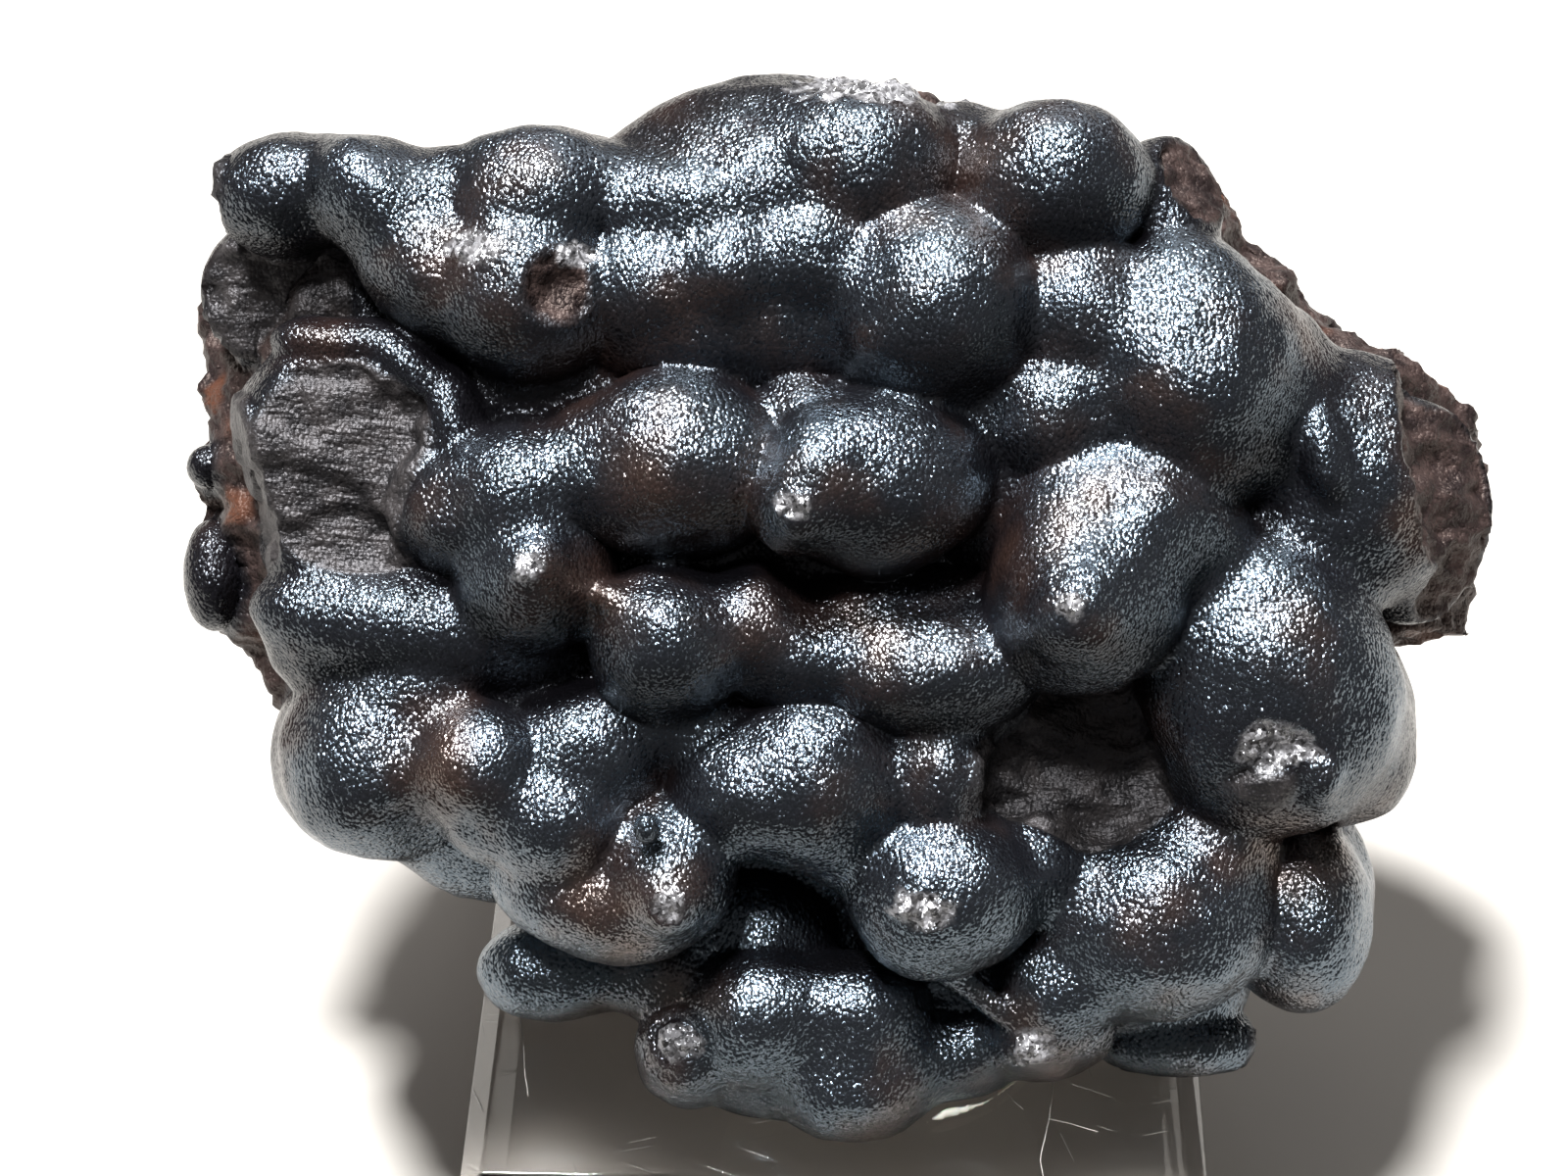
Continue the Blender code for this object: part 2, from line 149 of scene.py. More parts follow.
def dimpled(tree: Tree, shader: bpy.types.Node, grain: float, strength: float, deep: float) -> None:
    """Gives a shader a softly dimpled normal.

    Args:
        tree: The material's tree.
        shader: The shader.
        grain: Size of a dimple, in metres.
        strength: Strength of the dimples, 0 to 1.
        deep: Their depth, in metres.
    """
    where = add_node(tree, "ShaderNodeTexCoord", {}).outputs["Object"]
    dimples = add_node(tree, "ShaderNodeTexNoise", {"Vector": where, "Scale": 1.0 / grain})
    feeds = {"Height": dimples.outputs["Fac"], "Strength": strength, "Distance": deep}
    bump = add_node(tree, "ShaderNodeBump", feeds)
    tree.links.new(bump.outputs[0], shader.inputs["Normal"])


def coat(piece: Piece, finish: Material) -> None:
    """Gives a piece this finish in place of what it has."""
    piece.data.materials.clear()
    piece.data.materials.append(finish)


def plain_mesh(piece: Piece) -> Mesh:
    """Takes an object's evaluated mesh and removes the object.

    Args:
        piece: The object, with its modifiers.

    Returns:
        What its modifiers make of it, as a plain mesh.
    """
    graph = bpy.context.evaluated_depsgraph_get()
    mesh = bpy.data.meshes.new_from_object(piece.evaluated_get(graph))
    bpy.data.objects.remove(piece)
    return mesh


def read_points(mesh: Mesh) -> np.ndarray:
    """The mesh's points as rows of three numbers."""
    flat = np.empty(len(mesh.vertices) * 3)
    mesh.vertices.foreach_get("co", flat)
    return flat.reshape(-1, 3)


def read_normals(mesh: Mesh) -> np.ndarray:
    """The mesh's point normals as rows of three numbers."""
    flat = np.empty(len(mesh.vertices) * 3)
    mesh.vertex_normals.foreach_get("vector", flat)
    return flat.reshape(-1, 3)


def write_points(mesh: Mesh, points: np.ndarray) -> None:
    """Moves the mesh's points to these places."""
    mesh.vertices.foreach_set("co", points.astype(np.float32).ravel())
    mesh.update()


def write_attribute(mesh: Mesh, name: str, values: np.ndarray) -> None:
    """Stores one number for each point under this name."""
    attribute = mesh.attributes.new(name, "FLOAT", "POINT")
    attribute.data.foreach_set("value", values.astype(np.float32))


def smoothstep(low: float, high: float, values: np.ndarray) -> np.ndarray:
    """Eases from 0 at low to 1 at high."""
    share = np.clip((values - low) / (high - low), 0.0, 1.0)
    return share * share * (3 - 2 * share)


def noise_at(points: np.ndarray, grain: float, basis: str = "PERLIN_ORIGINAL") -> np.ndarray:
    """Solid noise at each point.

    Args:
        points: Places in metres.
        grain: Size of one feature in metres.
        basis: Blender's name for the kind of noise.

    Returns:
        One number for each point.
    """
    scaled = points / grain
    return np.array([noise.noise(p, noise_basis=basis) for p in scaled])


@dataclass(frozen=True)
class Relief:
    """One layer of random relief.

    Attributes:
        grain: Size of one feature, in metres.
        height: How much it rises and falls, in metres.
        squeeze: How much tighter the pattern is along each axis.
        level: The noise value that stays where it is.
    """

    grain: float
    height: float
    squeeze: tuple[float, float, float] = (1.0, 1.0, 1.0)
    level: float = 0.0

    def noise(self, points: np.ndarray, basis: str = "PERLIN_ORIGINAL") -> np.ndarray:
        """The layer's noise at each point, over its level."""
        return noise_at(points * self.squeeze, self.grain, basis) - self.level

    def rise(self, points: np.ndarray, basis: str = "PERLIN_ORIGINAL") -> np.ndarray:
        """The layer's height at each point, in metres."""
        return self.noise(points, basis) * self.height

    def steps(self, points: np.ndarray, edge: Span) -> np.ndarray:
        """The same, as steps that rise between two noise values."""
        return smoothstep(*edge, self.noise(points)) * self.height


# The specimen's shape


@dataclass(frozen=True)
class Stance:
    """How the specimen stands on its block.

    Attributes:
        stand_up: Turn from lying on its back to standing, in radians.
        turn: Turn about the vertical, in radians.
        face_centre: Where the face frame's origin comes to, in metres.
        face_slope: Rise of the mean face per length up the face.
        bulge: How far the middle of the face bulges, in mm.
        bulge_about: The bulge's middle, in mm in the face frame.
        bulge_reach: The bulge's half width and half height, in mm.
        swell: Share by which the lumps of the middle swell.
        swell_about: Where the swelling is centred, in mm.
        swell_reach: Half width and half height that it fades towards, in mm.
        swell_ends: Share of that reach where it has ended.
        swell_fade: Share of that reach over which it fades.
        block_top: Height of the block's top, in metres.
    """

    stand_up: float = math.radians(52.0)
    turn: float = math.radians(1.6)
    face_centre: Vector = Vector((-4.0, 2.0, 42.8)) * MM
    face_slope: float = 0.10
    bulge: float = 6.0
    bulge_about: Vector = Vector((0.0, 2.0))
    bulge_reach: Vector = Vector((50.0, 36.0))
    swell: float = 0.16
    swell_about: Vector = Vector((3.0, -1.0))
    swell_reach: Vector = Vector((46.0, 30.0))
    swell_ends: float = 0.95
    swell_fade: float = 0.25
    block_top: float = 12.7 * MM

    def matrix(self) -> Matrix:
        """The move from the face frame to the row frame."""
        upright = Matrix.Rotation(self.stand_up, 4, "X")
        return Matrix.Translation(self.face_centre) @ Matrix.Rotation(self.turn, 4, "Z") @ upright

    def mean_face(self, across: np.ndarray | float, up: np.ndarray | float) -> np.ndarray | float:
        """Height of the mean lumpy face at a place on the face, all in mm."""
        x = (across - self.bulge_about.x) / self.bulge_reach.x
        y = (up - self.bulge_about.y) / self.bulge_reach.y
        return self.face_slope * up + self.bulge * np.maximum(0.0, 1.0 - x * x - y * y)

    def swell_at(self, across: float, up: float) -> float:
        """How much a lump swells: full in the middle, none at the rim.

        Args:
            across: Its centre across the face, in mm.
            up: Its centre up the face, in mm.

        Returns:
            The factor that its sizes grow by.
        """
        x = (across - self.swell_about.x) / self.swell_reach.x
        y = (up - self.swell_about.y) / self.swell_reach.y
        share = (self.swell_ends - math.hypot(x, y)) / self.swell_fade
        return 1.0 + self.swell * min(1.0, max(0.0, share))

    def floor_at(self, depth: float, bed: float) -> float:
        """Lowest place up the face, in mm, that stays above the block.

        Args:
            depth: Depth behind the face frame's plane, in mm.
            bed: Room left for putty, in mm.

        Returns:
            The place up the face, in mm.
        """
        rest = (self.face_centre.z - self.block_top) / MM - bed
        return (depth * math.cos(self.stand_up) - rest) / math.sin(self.stand_up)


class Break(Enum):
    """What the surface of a flat break looks like now."""

    FRESH = "silky dark fibres"
    PITTED = "dark hackly hollow"
    WEATHERED = "brown hackly rind"


@dataclass(frozen=True)
class Lump:
    """One rounded lump of the skin, in millimetres in the face frame.

    Attributes:
        across: Centre across the face.
        up: Centre up the face.
        out: How far the centre stands proud of the mean face.
        wide: Half width.
        tall: Half height.
        deep: Half depth.
        roll: Turn on the face, in degrees.
        flats: Flat breaks of the unit ball: direction and distance.
        broke: What the flats look like.
    """

    across: float
    up: float
    out: float
    wide: float
    tall: float
    deep: float
    roll: float = 0.0
    flats: tuple[Flat, ...] = ()
    broke: Break = Break.FRESH

    def half_size(self, stance: Stance) -> Vector:
        """Half width, height and depth in metres, swollen for its place."""
        return Vector((self.wide, self.tall, self.deep)) * stance.swell_at(self.across, self.up) * MM

    def centre(self, stance: Stance) -> Vector:
        """The centre in metres in the face frame."""
        sunk = self.deep * (stance.swell_at(self.across, self.up) - 1.0)
        height = stance.mean_face(self.across, self.up) + self.out - sunk
        return Vector((self.across, self.up, height)) * MM

    def turned(self) -> Matrix:
        """The lump's turn on the face."""
        return Matrix.Rotation(math.radians(self.roll), 3, "Z")


TOP_ROW = (
    Lump(-34.0, 26.8, -1.5, 4.7, 4.2, 5.0, 0.0, ((-1.0, 0.0, 0.0, 0.80),)),
    Lump(-30.2, 27.8, -2.5, 3.4, 2.9, 4.5),
    Lump(-26.6, 25.8, 0.0, 5.6, 4.0, 5.0, -38.0),
    Lump(-22.9, 21.4, -0.6, 5.8, 4.6, 5.2, -42.0),
    Lump(-16.5, 25.9, 0.0, 5.8, 5.2, 5.6),
    Lump(-6.8, 25.4, -0.8, 6.6, 4.2, 5.2),
    Lump(-1.6, 27.4, -1.0, 4.4, 4.0, 5.0),
    Lump(4.4, 28.2, -0.6, 7.4, 5.7, 6.2),
    Lump(-0.4, 24.6, -4.2, 12.6, 9.6, 7.6),
    Lump(17.8, 27.2, 1.0, 6.4, 5.6, 6.0),
    Lump(25.6, 25.6, -2.2, 4.0, 4.8, 4.4, 0.0, ((0.6, 0.5, 0.6, 0.70),), Break.WEATHERED),
)

UPPER_ROW = (
    Lump(-17.0, 19.7, 1.0, 5.5, 5.2, 5.6, 0.0, ((0.45, 0.02, 0.89, 0.91),), Break.WEATHERED),
    Lump(-9.0, 20.2, 0.2, 4.0, 4.2, 4.4),
    Lump(-3.7, 20.8, 0.8, 3.6, 3.5, 4.2),
    Lump(2.0, 21.8, 0.2, 4.6, 4.0, 4.6),
    Lump(-3.0, 17.4, -1.2, 9.4, 3.6, 4.4),
    Lump(9.9, 18.7, 1.6, 6.1, 6.0, 6.0),
    Lump(19.4, 18.4, 0.4, 4.6, 4.8, 4.8),
    Lump(26.2, 19.4, 0.6, 4.0, 4.2, 4.2),
    Lump(26.8, 14.2, 1.0, 6.8, 7.6, 6.4, 14.0),
    Lump(18.0, 11.8, 0.4, 4.4, 4.0, 4.2),
    Lump(31.6, 12.6, -1.2, 5.4, 6.4, 4.8),
    Lump(12.4, 11.8, -1.8, 5.4, 4.6, 3.8),
)

MIDDLE_ROW = (
    Lump(-28.6, 8.6, -2.2, 8.4, 8.2, 5.8, 0.0, ((0.14, -0.06, 0.98, 0.56), (-1.0, -0.2, 0.2, 0.76))),
    Lump(-29.6, 16.6, -0.6, 4.4, 1.5, 2.6, -4.0),
    Lump(-25.0, 14.8, -0.4, 3.2, 1.6, 2.6, -38.0),
    Lump(-22.0, 11.2, -0.4, 1.6, 3.0, 2.6, 8.0),
    Lump(-21.8, 5.4, 0.0, 3.6, 3.6, 4.0),
    Lump(-17.8, 6.2, 1.2, 4.4, 4.4, 4.4),
    Lump(-16.6, 0.8, 1.8, 4.4, 4.2, 4.6),
    Lump(-12.2, 8.0, 0.8, 4.4, 3.8, 4.2),
    Lump(-6.9, 8.4, 1.4, 6.2, 5.4, 5.4),
    Lump(1.0, 11.6, 0.0, 2.8, 2.4, 3.2),
    Lump(6.2, 7.2, 2.2, 6.4, 5.2, 5.6),
    Lump(3.2, 7.4, 4.6, 3.8, 3.8, 3.8),
    Lump(0.1, 5.2, 4.4, 2.1, 2.6, 2.8),
    Lump(21.6, 4.0, 1.6, 6.4, 5.2, 5.8, 12.0),
    Lump(19.7, -0.6, 4.0, 5.6, 5.4, 5.6),
    Lump(26.0, 3.0, 0.2, 4.4, 5.2, 4.4),
    Lump(38.4, 7.4, -1.4, 6.6, 8.2, 5.6, 0.0, ((1.0, 0.22, 0.20, 0.60),), Break.WEATHERED),
    Lump(
        43.2, 5.4, -4.4, 5.4, 7.4, 4.6, 0.0,
        ((0.55, 0.3, 0.78, 0.62), (0.6, -0.6, 0.5, 0.74)), Break.WEATHERED,
    ),
    Lump(34.8, 3.6, -2.2, 5.0, 4.4, 4.2),
    Lump(32.0, -5.0, 0.8, 7.4, 8.0, 6.6, 14.0),
    Lump(34.6, -7.4, 0.6, 6.0, 6.4, 6.0),
    Lump(32.6, -11.0, 1.2, 6.4, 4.8, 5.6, 0.0, ((-0.08, -0.18, 0.98, 0.88),)),
    Lump(38.8, -9.4, -2.6, 4.0, 6.2, 5.6),
)

BELT_ROW = (
    Lump(-24.4, -2.4, -0.6, 10.0, 3.4, 4.0, -7.0),
    Lump(-31.2, -2.4, -1.8, 3.8, 4.0, 4.0),
    Lump(-7.8, -3.4, 2.2, 4.5, 4.4, 5.0),
    Lump(-2.2, -2.2, 0.6, 3.4, 3.2, 3.8),
    Lump(2.0, -4.4, 0.0, 5.6, 3.2, 4.2),
    Lump(9.4, -5.2, 1.2, 6.2, 3.8, 4.8),
    Lump(6.6, -1.8, -1.8, 7.2, 3.0, 4.2),
    Lump(14.6, -3.0, -2.0, 4.2, 3.8, 4.0),
)

LOWER_ROW = (
    Lump(-27.6, -11.4, -0.8, 5.8, 6.2, 6.0, 20.0),
    Lump(-24.4, -7.4, -1.0, 4.4, 4.0, 4.4),
    Lump(-20.6, -11.6, 3.0, 3.8, 3.6, 4.0),
    Lump(-15.2, -15.4, 3.2, 3.8, 3.6, 4.0),
    Lump(-18.2, -13.8, 1.8, 4.2, 3.8, 4.2),
    Lump(-13.2, -10.8, 0.6, 4.4, 4.0, 4.4),
    Lump(-6.8, -9.0, -1.0, 4.6, 3.0, 4.0),
    Lump(-7.8, -18.8, 3.2, 4.0, 4.2, 4.4),
    Lump(-12.6, -20.8, 1.8, 6.2, 3.6, 4.8, -12.0),
    Lump(1.8, -12.8, 1.4, 5.8, 4.8, 5.2),
    Lump(-2.6, -13.2, 2.0, 4.2, 3.8, 4.4),
    Lump(2.0, -10.6, 1.2, 3.8, 3.0, 4.4),
    Lump(10.2, -12.2, 0.6, 3.6, 4.2, 4.4, 0.0, ((0.93, 0.0, 0.36, 0.80),)),
    Lump(4.8, -16.6, 0.0, 3.4, 3.0, 3.8),
)

BASE_ROW = (
    Lump(-15.6, -26.1, -3.8, 5.8, 3.5, 4.6),
    Lump(-8.0, -26.4, -3.8, 5.0, 3.4, 4.2),
    Lump(10.6, -20.0, 3.0, 5.6, 4.8, 5.4),
    Lump(9.0, -22.6, 4.2, 2.9, 2.7, 3.0),
    Lump(16.6, -18.4, 0.0, 3.4, 3.4, 3.8),
    Lump(25.0, -22.2, 0.4, 7.8, 6.6, 6.6),
    Lump(28.6, -17.6, -0.8, 4.4, 3.8, 4.6),
    Lump(35.6, -22.4, -2.2, 5.2, 6.8, 6.6),
    Lump(-6.9, -31.8, 0.6, 3.6, 3.6, 4.2),
    Lump(-1.8, -29.0, 0.8, 4.8, 4.6, 5.0),
    Lump(4.6, -28.8, 0.2, 5.0, 4.2, 4.8),
    Lump(4.8, -32.8, 0.8, 6.0, 5.0, 5.4),
    Lump(-1.6, -33.6, -1.6, 4.6, 3.0, 4.6),
    Lump(11.4, -31.8, -1.2, 4.4, 3.4, 4.4),
    Lump(18.6, -26.8, 0.8, 4.2, 4.0, 4.6),
    Lump(17.4, -30.4, 0.2, 5.0, 2.9, 4.4),
    Lump(-2.4, -23.0, -4.4, 5.4, 4.0, 4.0),
)

# Lumps that carry the skin round the top, the sides and the underside.
WRAP_ROW = (
    Lump(-16.0, 27.4, -7.0, 6.4, 4.4, 6.0),
    Lump(4.0, 29.4, -7.2, 8.6, 4.4, 6.0),
    Lump(18.4, 27.8, -6.0, 5.4, 4.4, 5.6),
    Lump(-29.8, 26.6, -7.0, 7.0, 3.6, 6.0, 0.0, ((-1.0, 0.0, 0.0, 0.90),)),
    Lump(-29.2, -11.2, -7.4, 5.8, 6.2, 6.6),
    Lump(-22.0, -15.8, -5.4, 6.4, 4.6, 5.6, -28.0),
    Lump(38.4, -9.2, -8.0, 4.8, 6.6, 6.6),
    Lump(36.8, -21.4, -9.0, 4.8, 6.6, 6.8),
    Lump(25.4, -27.6, -6.4, 7.0, 4.0, 5.6),
    Lump(27.4, -31.6, -4.6, 5.8, 2.6, 4.2, 0.0, ((1.0, 0.0, 0.0, 0.82),)),
)

# Skin at the bottom of the furrows, and the scar where one lump broke away.
FURROWS = (
    Lump(-22.6, 26.0, -1.0, 3.6, 3.4, 4.4),
    Lump(-11.6, 26.2, -1.0, 3.2, 3.4, 4.4),
    Lump(5.0, 14.2, -3.2, 4.6, 3.4, 4.0),
    Lump(15.6, 7.2, -3.0, 6.2, 5.6, 4.4),
    Lump(-15.0, 13.6, -4.2, 8.0, 4.2, 4.0),
    Lump(-1.0, 1.8, -4.4, 12.0, 3.6, 4.0),
    Lump(-16.0, -6.2, -4.4, 8.0, 4.2, 4.0),
    Lump(-8.8, -13.4, -2.4, 4.6, 4.2, 4.0),
    Lump(-33.4, 20.6, -7.2, 6.6, 5.6, 4.6, 0.0, ((-0.1, -0.25, 0.96, 0.34),)),
    Lump(19.2, -11.6, -3.2, 7.6, 7.8, 5.4, 0.0, ((0.05, -0.12, 1.0, 0.52),), Break.PITTED),
    Lump(14.6, -8.6, -3.6, 4.6, 3.0, 4.0),
    Lump(19.8, -17.6, -3.2, 5.0, 3.4, 4.4),
    Lump(13.0, -25.8, -4.2, 6.0, 3.6, 4.4),
    Lump(-40.2, 8.6, -9.4, 1.5, 1.6, 2.0),
    Lump(-39.6, 1.0, -9.2, 2.4, 3.8, 3.0),
)

# Knobs, nipples and the web between two lumps, all too small for the solid.
KNOBS = (
    Lump(-9.0, -15.4, 7.6, 0.8, 0.9, 0.9),
    Lump(-7.6, -20.4, 7.2, 1.5, 1.4, 1.5),
    Lump(-11.4, -0.5, 4.2, 0.8, 0.8, 1.2),
    Lump(35.2, -12.4, 6.2, 0.9, 1.5, 1.8),
    Lump(35.6, 9.0, 3.5, 1.3, 2.6, 1.5, 8.0),
    Lump(12.2, 29.4, -3.2, 3.6, 3.4, 5.0),
    Lump(12.8, -27.0, 3.0, 3.8, 0.8, 0.9, -38.0),
    Lump(16.6, -30.6, 4.0, 1.6, 1.3, 1.4),
    Lump(18.6, -1.6, 8.6, 2.6, 2.4, 2.4),
    Lump(-16.2, 2.0, 5.6, 1.4, 1.2, 1.2),
    Lump(0.9, 5.2, 7.2, 1.3, 1.6, 1.2),
)

SKIN = TOP_ROW + UPPER_ROW + MIDDLE_ROW + BELT_ROW + LOWER_ROW + BASE_ROW + WRAP_ROW + FURROWS + KNOBS

RIM = (
    (-39.4, 25.2), (-37.0, 29.4), (-31.0, 30.6), (-24.0, 28.6), (-16.5, 29.6),
    (-9.0, 28.4), (-2.0, 31.8), (6.2, 36.0), (14.4, 34.2), (20.0, 32.4),
    (25.4, 31.0), (30.5, 30.4), (32.6, 25.5), (36.6, 23.6), (37.8, 20.8),
    (41.9, 17.7), (44.6, 17.9), (50.6, 11.8), (49.8, 10.0), (50.3, 2.8),
    (49.0, -3.4), (43.0, -4.4), (40.0, -8.0), (38.6, -16.0), (38.0, -22.0),
    (33.4, -28.4), (24.0, -30.8), (14.0, -31.8), (4.0, -32.2), (-5.0, -30.8),
    (-10.0, -26.6), (-18.0, -22.6), (-24.0, -18.8), (-31.6, -15.4), (-35.6, -11.4),
    (-37.2, -6.6), (-40.4, -3.2), (-41.8, 3.4), (-42.2, 8.6), (-41.2, 12.8),
    (-41.4, 17.6), (-41.6, 21.4),
)


@dataclass(frozen=True)
class Nose:
    """A nose chipped back to its growth rings, in mm in the face frame.

    Attributes:
        across: Centre across the face.
        up: Centre up the face.
        above: Height over the mean face that the rings start at.
        reach: Radius of the outermost ring.
        pitch: Width of one ring.
        relief: Half height of one ring.
        fade: Share of the reach from which the rings fade.
    """

    across: float
    up: float
    above: float
    reach: float
    pitch: float
    relief: float
    fade: float = 0.7


NOSES = (
    Nose(-7.3, -30.4, 0.0, 3.2, 0.95, 0.18),
    Nose(9.0, -21.0, 2.0, 2.4, 0.80, 0.10),
    Nose(19.0, 0.2, 6.5, 2.6, 1.10, 0.08),
)


@dataclass(frozen=True)
class Chip:
    """A flake lost from the skin, which bares bright torn grain, in mm in the face frame.

    Attributes:
        across: Centre across the face.
        up: Centre up the face.
        above: Height over the mean face that the flake was lost from.
        wide: Half width.
        tall: Half height.
        sink: Depth of the scar.
        ragged: How far its edge strays, as a share of its size.
        ragged_grain: Size of one tooth of that edge, in metres.
        shift: Offset of the edge's noise from the skin's, in metres.
        edge: Shares of its size where the scar ends and where it is full.
    """

    across: float
    up: float
    above: float
    wide: float
    tall: float
    sink: float = 0.35
    ragged: float = 0.55
    ragged_grain: float = 1.3 * MM
    shift: float = 20.0 * MM
    edge: Span = (1.05, 0.85)

    def share(self, points: np.ndarray, stance: Stance) -> np.ndarray:
        """Weighs the points by how far they lie inside the scar.

        Args:
            points: Places in the face frame, in metres.
            stance: How the specimen stands.

        Returns:
            0 outside the scar and 1 inside, with a ragged edge between.
        """
        local = points / MM - (self.across, self.up, 0.0)
        reach = np.hypot(local[:, 0] / self.wide, local[:, 1] / self.tall)
        front = points[:, 2] / MM > stance.mean_face(self.across, self.up) + self.above
        near = np.nonzero((reach < self.edge[0] + self.ragged) & front)[0]
        share = np.zeros(len(points))
        strayed = reach[near] + noise_at(points[near] + self.shift, self.ragged_grain) * self.ragged
        share[near] = smoothstep(*self.edge, strayed)
        return share


CHIPS = (
    Chip(9.0, -20.9, 2.0, 1.9, 1.5),
    Chip(32.2, -10.2, 2.0, 2.6, 1.5, 0.45),
    Chip(-7.6, -20.6, 2.0, 1.1, 1.0),
    Chip(-7.2, -30.4, 0.0, 1.4, 1.1, 0.15),
    Chip(16.6, -30.6, 1.5, 1.6, 1.2, 0.25),
    Chip(-20.4, 22.4, 2.0, 1.8, 1.1, 0.15),
    Chip(-13.6, 21.9, 2.0, 1.5, 0.9, 0.15),
    Chip(0.6, 5.4, 3.5, 1.0, 0.9, 0.15),
    Chip(18.4, -1.0, 6.0, 0.8, 0.7, 0.10),
    Chip(-16.6, 1.6, 3.5, 0.9, 0.8, 0.12),
    Chip(7.4, 33.6, -4.2, 6.4, 1.6, 0.30),
)


@dataclass(frozen=True)
class OreBlock:
    """The broken block of ore behind the lumps.

    Attributes:
        rim: Its outline seen from the front, in mm in the face frame.
        levels: Depth behind the mean face in mm, and the rim's share there.
        about: The point that a level is drawn in about, in mm.
        bed: Room left under it for putty, in mm.
        cuts: Cuts made in each edge before it is roughened.
        relief: Depth of the hackly relief, in metres.
        grain: Size of one scallop, in metres.
        fine_grain: Size of one small scallop, in metres.
        fine_share: Depth of the small scallops, as a share of the large ones'.
        mean_relief: The noise value that stays where it is.
    """

    rim: tuple[tuple[float, float], ...] = RIM
    levels: tuple[tuple[float, float], ...] = (
        (3.2, 0.05), (3.2, 0.45), (3.6, 0.84), (6.4, 0.93), (10.5, 1.0),
        (17.0, 0.97), (25.0, 0.86), (31.0, 0.68), (34.0, 0.40), (34.5, 0.05),
    )
    about: Vector = Vector((3.0, 1.0))
    bed: float = 1.3
    cuts: int = 4
    relief: float = 1.3 * MM
    grain: float = 5.0 * MM
    fine_grain: float = 1.9 * MM
    fine_share: float = 0.4
    mean_relief: float = 0.6

    def corner(self, x: float, y: float, depth: float, share: float, stance: Stance) -> Vector:
        """Draws a rim point in for its level.

        Args:
            x: Its place across the face, in mm.
            y: Its place up the face, in mm.
            depth: Depth behind the mean face, in mm.
            share: The rim's share at that depth.
            stance: How the specimen stands.

        Returns:
            The point in metres in the face frame.
        """
        point = self.about + (Vector((x, y)) - self.about) * share
        height = stance.mean_face(point.x, point.y) - depth
        point.y = max(point.y, stance.floor_at(-height, self.bed))
        return Vector((point.x, point.y, height)) * MM

    def hackle(self, point: Vector) -> float:
        """Height of the scalloped relief at a point, in metres."""
        scallops = noise.noise(point / self.grain, noise_basis="VORONOI_F1")
        grain = noise.noise(point / self.fine_grain, noise_basis="VORONOI_F1")
        return self.relief * (scallops + self.fine_share * grain - self.mean_relief)

    def mesh(self, stance: Stance) -> Mesh:
        """Lofts the block and roughens it.

        Args:
            stance: How the specimen stands.

        Returns:
            A closed mesh in the face frame.
        """
        bm = bmesh.new()
        rings = []
        for depth, share in self.levels:
            rings.append([bm.verts.new(self.corner(x, y, depth, share, stance)) for x, y in self.rim])
        bm.faces.new(rings[0])
        bm.faces.new(reversed(rings[-1]))
        for front, back in zip(rings, rings[1:]):
            for i, corner in enumerate(front):
                j = (i + 1) % len(front)
                bm.faces.new((corner, back[i], back[j], front[j]))
        bmesh.ops.recalc_face_normals(bm, faces=bm.faces)
        bmesh.ops.subdivide_edges(bm, edges=bm.edges, cuts=self.cuts, use_grid_fill=True)
        bm.normal_update()
        moves = [vertex.normal * self.hackle(vertex.co) for vertex in bm.verts]
        for vertex, move in zip(bm.verts, moves):
            vertex.co += move
        mesh = bpy.data.meshes.new("ore_block")
        bm.to_mesh(mesh)
        bm.free()
        return mesh


